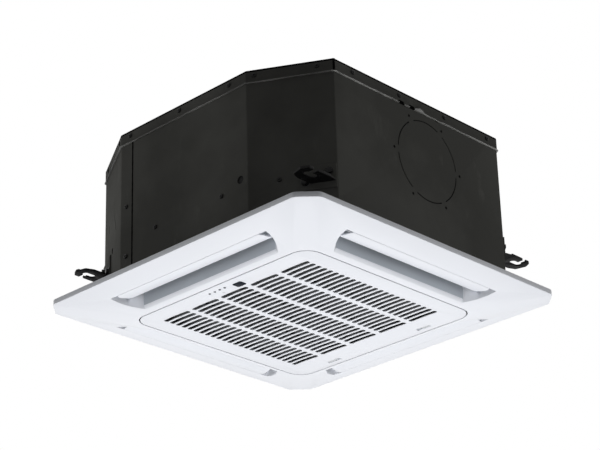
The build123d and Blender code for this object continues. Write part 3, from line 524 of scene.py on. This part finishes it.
def skinned(rings, both_ends=True):
    """A skin through rings of matching points, extruded from one ring to the next.

    The first ring is closed with a face, and the last one too unless both_ends is off.
    """
    bm = bmesh.new()
    turn = bm.verts.layers.int.new("turn")
    chain = [bm.verts.new(point) for point in rings[0]]
    for k, vert in enumerate(chain):
        vert[turn] = k
    start = [bm.edges.new(pair) for pair in zip(chain, chain[1:] + chain[:1])]
    edges = start
    for ring in rings[1:]:
        grown = bmesh.ops.extrude_edge_only(bm, edges=edges)["geom"]
        for part in grown:
            if isinstance(part, bmesh.types.BMVert):
                part.co = ring[part[turn]]
        edges = [part for part in grown
                 if isinstance(part, bmesh.types.BMEdge) and part.is_boundary]
    bmesh.ops.holes_fill(bm, edges=start + edges if both_ends else start, sides=0)
    bm.verts.layers.int.remove(turn)
    bm.normal_update()
    bmesh.ops.recalc_face_normals(bm, faces=bm.faces)
    return bm


def lathe(bm, profile, segments, middle=(0.0, 0.0)):
    """Adds a solid turned about an upright axis, from (radius, z) points."""
    chain = [bm.verts.new((middle[0] + radius, middle[1], z)) for radius, z in profile]
    edges = [bm.edges.new(pair) for pair in zip(chain, chain[1:])]
    bmesh.ops.spin(bm, geom=chain + edges, cent=(*middle, 0.0), axis=(0.0, 0.0, 1.0),
                   angle=math.tau, steps=segments, use_merge=True)
    bmesh.ops.holes_fill(bm, edges=[e for e in bm.edges if e.is_boundary], sides=0)
    bm.normal_update()
    bmesh.ops.recalc_face_normals(bm, faces=bm.faces)
    return bm


# ---- panel geometry ------------------------------------------------------------
def main_axis(point):
    """The axis along which a point stands furthest out: 0 for X, 1 for Y."""
    return 0 if abs(point.x) > abs(point.y) else 1


def on_duct_wall(face):
    """Whether an upright face lies in the plane of an outlet's inner wall."""
    middle = face.calc_center_median()
    return abs(face.normal.z) < UPRIGHT and abs(abs(middle[main_axis(middle)]) - DUCT_WALL) < FLUSH


def panel_moulding(radius):
    """The panel with chamfered inner lips and grey upper inner walls in each outlet."""
    bm = copy_of("panel_frame")
    walls = [f for f in bm.faces if on_duct_wall(f) and f.calc_center_median().z < 0.0]
    parts = {part for f in walls for part in (f, *f.edges, *f.verts)}
    bmesh.ops.bisect_plane(bm, geom=list(parts), dist=0.000001,
                           plane_co=(0.0, 0.0, GREY_BAND_LOW), plane_no=(0.0, 0.0, 1.0))
    for vert in bm.verts:
        axis = main_axis(vert.co)
        past = abs(vert.co[axis]) - DUCT_WALL
        if not -FLUSH < past < LIP_SPAN or abs(vert.co[1 - axis]) >= LIP_HALF:
            continue
        if abs(vert.co.z - (LIP_Z + DOME_SLOPE * past)) < 2 * FLUSH:
            shift = LIP_DEPTH * (1.0 - max(0.0, past) / LIP_SPAN)
            vert.co[axis] -= math.copysign(shift, vert.co[axis])
            vert.co.z -= LIP_FALL * shift
    soften(bm, radius)
    for face in bm.faces:
        middle = face.calc_center_median()
        if on_duct_wall(face) and middle.z > GREY_BAND_LOW:
            outward = Vector((middle.x, middle.y, 0.0)).normalized()
            face.material_index = int(face.normal.dot(outward) > FACES_OUT)
    return bm


def louvre_blade(k):
    """A louvre whose outer long edge stands closer to the panel."""
    bm = copy_of(f"louvre_{k}")
    for vert in bm.verts:
        axis = main_axis(vert.co)
        if abs(vert.co[axis]) > BLADE_EDGE:
            vert.co[axis] += math.copysign(BLADE_REACH, vert.co[axis])
    return soften(bm, BLADE_ROUND, segments=3)


# ---- casing geometry -----------------------------------------------------------
def casing_faces():
    """Outward normals of the casing's eight upright faces, with their distances."""
    faces = [(Vector((s, 0.0)), CASE_HALF) for s in (-1, 1)]
    faces += [(Vector((0.0, s)), CASE_HALF) for s in (-1, 1)]
    for sx in (-1, 1):
        for sy in (-1, 1):
            faces.append((Vector((sx * CORNER_NORMAL.x, sy * CORNER_NORMAL.y)), CORNER_DIST))
    return faces


def casing_gap(point):
    """How far a point stands out from the casing."""
    flat = Vector((point.x, point.y))
    return max(normal.dot(flat) - dist for normal, dist in casing_faces())


def casing_corners(out):
    """The octagon moved out by a distance, anticlockwise from the (+X, +Y) end of +Y."""
    half, dist = CASE_HALF + out, CORNER_DIST + out
    a = (dist - CORNER_NORMAL.y * half) / CORNER_NORMAL.x
    b = (dist - CORNER_NORMAL.x * half) / CORNER_NORMAL.y
    return [Vector(point) for point in ((a, half), (-a, half), (-half, b), (-half, -b),
                                        (-a, -half), (a, -half), (half, -b), (half, b))]


def rounded_outline(out):
    """The octagon's outline with rounded corners and evenly divided sides."""
    corners = casing_corners(out)
    reaches = []
    for i, corner in enumerate(corners):
        before, after = corners[i - 1], corners[(i + 1) % 8]
        turn = (corner - before).angle(after - corner)
        reaches.append(LID_CORNER * math.tan(turn / 2))
    points = []
    for i, corner in enumerate(corners):
        before, after = corners[i - 1], corners[(i + 1) % 8]
        to_before, to_after = (before - corner).normalized(), (after - corner).normalized()
        start, end = corner + to_before * reaches[i], corner + to_after * reaches[i]
        inward = (to_before + to_after).normalized()
        centre = corner + inward * math.hypot(LID_CORNER, reaches[i])
        arm_a, arm_b = start - centre, end - centre
        for k in range(CORNER_STEPS + 1):
            arm = arm_a.lerp(arm_b, k / CORNER_STEPS).normalized()
            points.append(centre + arm * LID_CORNER)
        stop = after - to_after * reaches[(i + 1) % 8]
        for k in range(1, SIDE_STEPS):
            points.append(end.lerp(stop, k / SIDE_STEPS))
    return points


def bracket(node, radius):
    """A hanger with a low stiffening lip and its back plate in the casing's coating."""
    bm = copy_of(node)
    for vert in bm.verts:
        if vert.co.z > PLATE_TOP + LIP_ROOT and casing_gap(vert.co) > PLATE_START:
            vert.co.z = PLATE_TOP + LIP_RISE
    soften(bm, radius)
    for face in bm.faces:
        if casing_gap(face.calc_center_median()) < BACK_PLATE:
            face.material_index = 1
    return bm


def wall_sheet(side):
    """A side plate with its upright folds rounded."""
    bm = copy_of(f"side_plate_{side}")
    folds = [e for e in bm.edges if e.is_manifold and e.calc_length() > FOLD_LENGTH
             and abs(e.verts[0].co.z - e.verts[1].co.z) > FOLD_LENGTH
             and FOLD_LEAST < e.calc_face_angle(0.0) < FOLD_MOST]
    round_edges(bm, folds, FOLD_ROUND, 3)
    return bm


def bead(spot, outward, low, high, half, proud):
    """An upright half-round dark bead, a little uneven along its length, that paints the shade of
    a seam.
    """
    bm = bmesh.new()
    bmesh.ops.create_cone(bm, cap_ends=True, segments=12, radius1=1.0, radius2=1.0, depth=1.0,
                          matrix=Matrix.Translation((0.0, 0.0, 0.5)))
    upright = [e for e in bm.edges if abs(e.verts[0].co.z - e.verts[1].co.z) > 0.5]
    bmesh.ops.subdivide_edges(bm, edges=upright, cuts=BEAD_STEPS - 1)
    side = Vector((outward.y, -outward.x))
    for vert in bm.verts:
        across, out, step = vert.co.x, max(0.0, vert.co.y), BEAD_STEPS * vert.co.z
        swell = 1.0 + sum(depth * math.sin(pace * step) for depth, pace in BEAD_WAVES)
        flat = spot + side * (half * swell * across) + outward * (proud * out)
        vert.co = (flat.x, flat.y, low + (high - low) * step / BEAD_STEPS)
    return bm


def place_shade_bead(name, bm):
    """Places a bead in the black of the painted shade."""
    strip = place(name, bm, "casing", "bracket_black")
    strip.data.materials[0] = bpy.data.materials["folded_edge"]


def hump(value, centre, width):
    """A smooth hump, 1 at the centre and 0 beyond the width."""
    t = abs(value - centre) / width
    return 0.5 + 0.5 * math.cos(math.pi * t) if t < 1.0 else 0.0


def hem_gap(point):
    """The two nicks in the hem of the +X side."""
    if point[0] < HEM_FROM_X:
        return 0.0
    return sum(hump(point[1], centre, width) for centre, width in HEM_NICKS)


def hem_shift(point):
    """How the lid's bent hem wanders at a point of its outline: out, up, and its lifted tab."""
    x, y = point[:2]
    out, up = (sum(depth * math.sin(a * x + b * y) for depth, a, b in waves)
               for waves in (HEM_OUT_WAVES, HEM_UP_WAVES))
    if x < HEM_FROM_X:
        return out, up, 0.0
    out -= NICK_DEPTH * hem_gap(point)
    out += sum(depth * hump(y, centre, width) for centre, width, depth in HEM_SWELLS)
    up -= sum(depth * hump(y, centre, width) for centre, width, depth in HEM_SAGS)
    return out, up, hump(y, *HEM_TAB)


def lid_section():
    """The lid from its flat top over the bend and down to the hem, as (out, z) points."""
    knee, height = SHEET - LID_BEND, LID_HIGH.z - LID_BEND
    section = [(knee - LID_RIM, LID_HIGH.z), (knee, LID_HIGH.z)]
    for k in range(1, 5):
        angle = math.radians(90.0 - 22.5 * k)
        section.append((knee + LID_BEND * math.cos(angle), height + LID_BEND * math.sin(angle)))
    section.append((SHEET, height - SHADE_BAND))
    return section + [(out, LID_LOW.z + rise) for out, rise in HEM_SECTION]


def lid_finish(middle):
    """The index of a lid face's finish, by its middle."""
    # the hem's nicks in black: painted shade in the recesses
    if hem_gap(middle) > NICK_SHOWS and middle.z < LID_LOW.z + HEM_SECTION[0][1]:
        return PAINTED_SHADE
    # the hem's lower edge: bare metal and a painted highlight, brighter on +X
    if middle.z < LID_LOW.z + HEM_EDGE + TAB_UP * hem_shift(middle)[2]:
        return BARE_HIGHLIGHT if middle.x > CASE_HALF - 0.001 else DULL_HIGHLIGHT
    # the top bend and a band under it in black: painted shade
    if LID_HIGH.z - LID_BEND - SHADE_BAND < middle.z < LID_HIGH.z - 0.0001:
        return PAINTED_SHADE
    return 0


def lid_pressing():
    """The lid: rounded top edge, turned-down lip and a slightly flared, beaten hem."""
    plan = rounded_outline(0.0)
    normals = []
    for k, point in enumerate(plan):
        along = (plan[(k + 1) % len(plan)] - plan[k - 1]).normalized()
        normals.append(Vector((along.y, -along.x)))
    section = lid_section()
    rings = [[(x, y, section[0][1]) for x, y in rounded_outline(section[0][0])]]
    beaten = range(len(section) - len(HEM_SECTION) + 1, len(section) - 2)
    for row, (out, z) in enumerate(section[1:], start=1):
        ring = []
        for point, normal in zip(plan, normals):
            extra, up, tab = hem_shift(point) if row in beaten else (0.0, 0.0, 0.0)
            rise = max(0.0, 1.0 - (row - beaten.start) / TAB_ROWS) * tab
            reach = max(out + extra + TAB_OUT * rise, min(out, HEM_INNER))
            spot = point + normal * reach
            ring.append((spot.x, spot.y, z + up + TAB_UP * rise))
        rings.append(ring)
    bm = skinned(rings, both_ends=False)
    for face in bm.faces:
        face.material_index = lid_finish(face.calc_center_median())
    return bm


# ---- fasteners and lenses ------------------------------------------------------
def islands(node):
    """The loose pieces of a node, as lists of points."""
    bm = copy_of(node)
    left, found = set(bm.verts), []
    while left:
        reached, group = [left.pop()], []
        while reached:
            vert = reached.pop()
            group.append(vert.co.copy())
            for edge in vert.link_edges:
                other = edge.other_vert(vert)
                if other in left:
                    left.discard(other)
                    reached.append(other)
        found.append(group)
    bm.free()
    return found


def seat_of(points, height):
    """Where a fastener's head sits on the casing, as a matrix with Z outwards."""
    middle = sum(points, Vector()) / len(points)
    flat = Vector((middle.x, middle.y))
    normal, _ = min(casing_faces(), key=lambda face: abs(face[0].dot(flat) - face[1]))
    outward = Vector((normal.x, normal.y, 0.0))
    side = Vector((-normal.y, normal.x, 0.0))
    top = max(outward.dot(point) for point in points)
    across = [side.dot(point) for point in points]
    heights = [point.z for point in points]
    centre = outward * (top - height) + side * ((min(across) + max(across)) / 2)
    centre.z = (min(heights) + max(heights)) / 2
    matrix = Matrix((side, Vector((0, 0, 1)), outward)).transposed().to_4x4()
    matrix.translation = centre
    return matrix


def carved(bm, cutter):
    """The first solid with the second cut out of it."""
    pieces = []
    for name, solid in (("solid", bm), ("cutter", cutter)):
        mesh = bpy.data.meshes.new(name)
        solid.to_mesh(mesh)
        solid.free()
        pieces.append(bpy.data.objects.new(name, mesh))
        bpy.context.scene.collection.objects.link(pieces[-1])
    cut = pieces[0].modifiers.new("cut", "BOOLEAN")
    cut.object = pieces[1]
    cut.solver = "EXACT"
    cut.use_self = True
    shape = pieces[0].evaluated_get(bpy.context.evaluated_depsgraph_get())
    result = bmesh.new()
    result.from_mesh(shape.to_mesh())
    shape.to_mesh_clear()
    for piece in pieces:
        mesh = piece.data
        bpy.data.objects.remove(piece)
        bpy.data.meshes.remove(mesh)
    return result


def cross_cutter(arm, half, top, depth, taper=0.55):
    """A four-armed recess that narrows downwards."""
    bm = bmesh.new()
    middle = top - depth / 2
    for turn in (0.0, math.pi / 2):
        shape = (Matrix.Translation((0.0, 0.0, middle)) @ Matrix.Rotation(turn, 4, "Z")
                 @ Matrix.Diagonal((2 * arm, 2 * half, depth, 1.0)))
        bar = bmesh.ops.create_cube(bm, size=1.0, matrix=shape)["verts"]
        bmesh.ops.scale(bm, vec=(taper, taper, 1.0), verts=[v for v in bar if v.co.z < middle])
    return bm


def pan_head():
    """Pan head with a cross recess, seated at z = 0, and its shank."""
    return carved(lathe(bmesh.new(), PAN_SECTION, FASTENER_STEPS),
                  cross_cutter(*CROSS_RECESS))


def hex_head():
    """Flanged hexagon bolt seated at z = 0, and its shank."""
    bm = lathe(bmesh.new(), BOLT_SECTION, FASTENER_STEPS)
    crown = bmesh.ops.create_cone(bm, cap_ends=True, segments=6, radius1=BOLT_CROWN,
                                  radius2=BOLT_CROWN, depth=BOLT_DEPTH,
                                  matrix=Matrix.Translation((0.0, 0.0, BOLT_MIDDLE)))["verts"]
    edges = {e for v in crown for e in v.link_edges if min(w.co.z for w in e.verts) > BOLT_MIDDLE}
    round_edges(bm, list(edges), BOLT_ROUND, 2)
    return bm


def fasteners(name, node, template, height):
    """One piece with a modelled fastener at each place that the node has one."""
    mesh = bpy.data.meshes.new("template")
    template.to_mesh(mesh)
    template.free()
    bm = bmesh.new()
    for points in islands(node):
        before = len(bm.verts)
        bm.from_mesh(mesh)
        bm.verts.ensure_lookup_table()
        bmesh.ops.transform(bm, matrix=seat_of(points, height), verts=bm.verts[before:])
    bpy.data.meshes.remove(mesh)
    place(name, bm, "casing", SLOT_OF[node], [node], smooth=40.0)


def window_lens():
    """The receiver's rounded window, stacked through (inset, z) levels."""
    knee_x, knee_y = (half - WINDOW_CORNER for half in WINDOW_HALF)
    rings = []
    for inset, z in WINDOW_LEVELS:
        ring = []
        for k in range(WINDOW_STEPS):
            angle = math.tau * (k + 0.5) / WINDOW_STEPS
            x, y = math.cos(angle), math.sin(angle)
            ring.append((WINDOW[0] + math.copysign(knee_x, x) + (WINDOW_CORNER - inset) * x,
                         WINDOW[1] + math.copysign(knee_y, y) + (WINDOW_CORNER - inset) * y, z))
        rings.append(ring)
    return skinned(rings)


# ---- operators ---------------------------------------------------------------
class CASSETTE_OT_finishes(bpy.types.Operator):
    """Make every finish and give the carried-over nodes theirs"""

    bl_idname = "cassette.finishes"
    bl_label = "Finishes"

    def execute(self, context):
        made = slot_finishes(context.scene.cassette_colours)
        for slot, material in made.items():
            FINISH_NAMES[slot] = material.name
        # the hem's lower edge: bare metal, made lighter to paint its highlight too
        raw_edge("bare_edge", (0.66, 0.66, 0.64))
        raw_edge("dull_edge", (0.30, 0.30, 0.29))
        moulded("duct_liner", (0.51, 0.55, 0.60), roughness=0.7, tint=0.15, specular=0.1,
                grain=0.00006)
        # black that paints the shade under the lid's top bend, in the hem's nicks and in the seams
        coated_sheet("folded_edge", (0.006, 0.006, 0.006), 0.0, specular=0.0, roughness=0.8)
        for node, piece in NODES.items():
            piece.data.materials.clear()
            piece.data.materials.append(made[SLOT_OF[node]])
        return {"FINISHED"}


class CASSETTE_OT_panel(bpy.types.Operator):
    """Model the white panel and its four louvres"""

    bl_idname = "cassette.panel"
    bl_label = "Panel and louvres"

    def execute(self, context):
        radius = context.scene.cassette_sizes.moulding_round
        moulding = place("panel_moulding", panel_moulding(radius), "casing", "panel_white",
                         ["panel_frame"])
        moulding.data.materials.append(bpy.data.materials["duct_liner"])
        for k in range(1, 5):
            place(f"louvre_blade_{k}", louvre_blade(k), f"vane_{k}", "panel_white",
                  [f"louvre_{k}"])
        return {"FINISHED"}


class CASSETTE_OT_grille(bpy.types.Operator):
    """Model the intake grille with its catches, lenses and key"""

    bl_idname = "cassette.grille"
    bl_label = "Intake grille"

    def execute(self, context):
        radius = context.scene.cassette_sizes.small_round
        softened_piece("grille_moulding", "intake_grille", "grille", radius)
        softened_piece("catch_left", "latch_left", "left_catch", radius)
        softened_piece("catch_right", "latch_right", "right_catch", radius)
        place("receiver_lens", window_lens(), "grille", "window_dark", ["display_window"],
              smooth=50.0)
        lamps = bmesh.new()
        for x in LED_X:
            lathe(lamps, LAMP_SECTION, LAMP_STEPS, (x, LED_Y))
        place("indicator_lenses", lamps, "grille", "window_dark", smooth=50.0)
        softened_piece("test_key", "test_button", "button", radius)
        return {"FINISHED"}


class CASSETTE_OT_casing(bpy.types.Operator):
    """Model the casing's lid, side plates and brackets"""

    bl_idname = "cassette.casing"
    bl_label = "Casing"

    def execute(self, context):
        radius = context.scene.cassette_sizes.sheet_round
        for k in range(1, 5):
            arm = place(f"bracket_{k}", bracket(f"hanger_{k}", radius), "casing",
                        "bracket_black", [f"hanger_{k}"])
            arm.data.materials.append(finish_for("casing_grey"))
        # dark beads in the seams paint the shade of the gaps
        for sign, side in ((-1, "front"), (1, "rear")):
            spot = Vector((sign * SEAM_X, sign * (CASE_HALF - SEAM_SUNK)))
            place_shade_bead(f"seam_bead_{side}",
                    bead(spot, Vector((0, sign)), WALL_LOW, WALL_HIGH, *SEAM_BEAD))
        outward = Vector((1.0 + CORNER_NORMAL.x, -CORNER_NORMAL.y)).normalized()
        spot = casing_corners(SHEET)[CORNER_SHADE_AT] - outward * CORNER_SHADE_SUNK
        place_shade_bead("lid_corner_seal", bead(spot, outward, CORNER_SHADE_LOW, CORNER_SHADE_HIGH, *CORNER_SHADE_BEAD))
        for side in ("front", "rear"):
            place(f"wall_sheet_{side}", wall_sheet(side), "casing", "casing_grey",
                  [f"side_plate_{side}"])
        lid = place("lid_pressing", lid_pressing(), "casing", "casing_grey", ["top_cover"])
        for finish in LID_FINISHES:
            lid.data.materials.append(bpy.data.materials[finish])
        fasteners("lid_screw_set", "lid_screws", pan_head(), PAN_HEIGHT)
        fasteners("casing_screw_set", "casing_screws", pan_head(), PAN_HEIGHT)
        fasteners("hanger_bolt_set", "hanger_bolts", hex_head(), BOLT_HEIGHT)
        return {"FINISHED"}


# ---- studio ------------------------------------------------------------------
AIM = Vector((0.0, 0.0, 0.100))
VIEW_AZIMUTH, VIEW_ELEVATION, VIEW_ROLL = map(math.radians, (43.54, -24.15, -1.72))
VIEW_DISTANCE = 3.4515
IMAGE_WIDTH = 600
FOCAL_PIXELS = 1939.4
AIM_RIGHT, AIM_DOWN = 1.5, 22.7       # pixels from the image's centre
SENSOR = 36.0
FLOOR_Z, FLOOR_HALF = -5.5, 2.2
FLOOR_GLOW = 0.78                     # the far floor's paleness in the picture
CAMERA_REACH = 50.0
LAMP_WIDTH = 1.6
LAMPS = (                             # each one's place, what it points at and its setting
    ("light_below", (0.1, -0.1, -2.35), (0.0, 0.0, 0.0), "below"),
    ("light_left", (-3.0, -1.6, 0.3), (0.0, 0.0, 0.1), "left"),
    ("light_behind", (-2.2, 2.6, 2.4), (0.0, 0.0, 0.1), "behind"),
    ("light_right", (2.4, 2.4, 0.3), (0.2, 0.0, 0.1), "right"),
)


def looking(position, target):
    """Places an object at position with its -Z axis towards target."""
    direction = (target - position).to_track_quat("-Z", "Y")
    return Matrix.Translation(position) @ direction.to_matrix().to_4x4()


def camera_matrix():
    """The camera's place and turn, from its angles about the point it looks at."""
    az, el, roll = VIEW_AZIMUTH, VIEW_ELEVATION, VIEW_ROLL
    back = Vector((math.sin(az) * math.cos(el), -math.cos(az) * math.cos(el), math.sin(el)))
    right = Vector((math.cos(az), math.sin(az), 0.0))
    up = back.cross(right)
    turned = right * math.cos(roll) + up * math.sin(roll)
    above = up * math.cos(roll) - right * math.sin(roll)
    matrix = Matrix((turned, above, back)).transposed().to_4x4()
    matrix.translation = AIM + back * VIEW_DISTANCE
    return matrix


def soft_light(name, position, target, power):
    """A square lamp that lights the part but isn't seen itself."""
    light = bpy.data.lights.new(name, "AREA")
    light.shape = "SQUARE"
    light.size = LAMP_WIDTH
    light.energy = power
    lamp = bpy.data.objects.new(name, light)
    lamp.matrix_world = looking(Vector(position), Vector(target))
    lamp.visible_camera = False
    lamp.visible_glossy = False
    bpy.context.scene.collection.objects.link(lamp)


def where_seen(tree, unseen, seen):
    """A level that differs where a surface is seen directly, in metal or through glass."""
    path = tree.nodes.new("ShaderNodeLightPath")
    ray = path.outputs["Is Camera Ray"]
    for kind in ("Is Glossy Ray", "Is Transmission Ray"):
        either = tree.nodes.new("ShaderNodeMath")
        either.operation = "MAXIMUM"
        tree.links.new(ray, either.inputs[0])
        tree.links.new(path.outputs[kind], either.inputs[1])
        ray = either.outputs["Value"]
    level = tree.nodes.new("ShaderNodeMapRange")
    level.inputs["To Min"].default_value = unseen
    level.inputs["To Max"].default_value = seen
    tree.links.new(ray, level.inputs["Value"])
    return level.outputs["Result"]


def studio_world(ambient):
    """A plain white surrounding whose light is dimmed where it isn't seen."""
    world = bpy.data.worlds.new("studio")
    bpy.context.scene.world = world
    world.use_nodes = True
    tree = world.node_tree
    background = tree.nodes["Background"]
    background.inputs["Color"].default_value = (1.0, 1.0, 1.0, 1.0)
    tree.links.new(where_seen(tree, ambient, 1.0), background.inputs["Strength"])


def paper_floor():
    """The pale floor far below the part."""
    bm = bmesh.new()
    bmesh.ops.create_grid(bm, x_segments=1, y_segments=1, size=FLOOR_HALF,
                          matrix=Matrix.Translation((0.0, 0.0, FLOOR_Z)))
    mesh = bpy.data.meshes.new("floor")
    bm.to_mesh(mesh)
    bm.free()
    paper = Finish("floor_paper", (0.80, 0.80, 0.80), 0.9, specular=0.1)
    paper.shade(paper.spread(paper.noise(2.0), 0.3, 0.7), (0.78, 0.78, 0.78))
    paper.shader.inputs["Emission Color"].default_value = (1.0, 1.0, 1.0, 1.0)
    paper.tree.links.new(where_seen(paper.tree, 0.0, FLOOR_GLOW),
                         paper.shader.inputs["Emission Strength"])
    mesh.materials.append(paper.material)
    floor = bpy.data.objects.new("floor", mesh)
    bpy.context.scene.collection.objects.link(floor)


def photo_camera():
    """A camera with the photograph's view."""
    data = bpy.data.cameras.new("camera")
    data.sensor_width = SENSOR
    data.lens = FOCAL_PIXELS / IMAGE_WIDTH * SENSOR
    data.shift_x = -AIM_RIGHT / IMAGE_WIDTH
    data.shift_y = AIM_DOWN / IMAGE_WIDTH
    data.clip_end = CAMERA_REACH
    camera = bpy.data.objects.new("camera", data)
    camera.matrix_world = camera_matrix()
    bpy.context.scene.collection.objects.link(camera)
    return camera


class CASSETTE_OT_stage(bpy.types.Operator):
    """Set the floor, lights, background and camera"""

    bl_idname = "cassette.stage"
    bl_label = "Stage"

    def execute(self, context):
        scene = context.scene
        studio = scene.cassette_studio
        studio_world(studio.ambient)
        scene.view_settings.view_transform = "Standard"
        paper_floor()
        for name, position, target, setting in LAMPS:
            soft_light(name, position, target, getattr(studio, setting))
        scene.camera = photo_camera()
        return {"FINISHED"}


class CASSETTE_PT_sidebar(bpy.types.Panel):
    """Lists the cassette's settings and operators"""

    bl_label = "Ceiling cassette"
    bl_idname = "CASSETTE_PT_sidebar"
    bl_space_type = "VIEW_3D"
    bl_region_type = "UI"
    bl_category = "Cassette"

    def draw(self, context):
        layout = self.layout
        for name in SETTINGS:
            group = getattr(context.scene, name)
            for key in group.bl_rna.properties.keys():
                if key not in {"rna_type", "name"}:
                    layout.prop(group, key)
        for step in STEPS:
            layout.operator(step.bl_idname)


SETTINGS = {
    "cassette_sizes": CassetteSizes,
    "cassette_colours": CassetteColours,
    "cassette_studio": CassetteStudio,
}
STEPS = (
    CASSETTE_OT_finishes,
    CASSETTE_OT_panel,
    CASSETTE_OT_grille,
    CASSETTE_OT_casing,
    CASSETTE_OT_stage,
)


def register():
    for cls in (*SETTINGS.values(), *STEPS, CASSETTE_PT_sidebar):
        bpy.utils.register_class(cls)
    for name, group in SETTINGS.items():
        setattr(bpy.types.Scene, name, PointerProperty(type=group))


def unregister():
    for name in SETTINGS:
        delattr(bpy.types.Scene, name)
    for cls in reversed((*SETTINGS.values(), *STEPS, CASSETTE_PT_sidebar)):
        bpy.utils.unregister_class(cls)


def main():
    register()
    for step in STEPS:
        group, name = step.bl_idname.split(".")
        getattr(getattr(bpy.ops, group), name)()


if __name__ == "__main__":
    main()
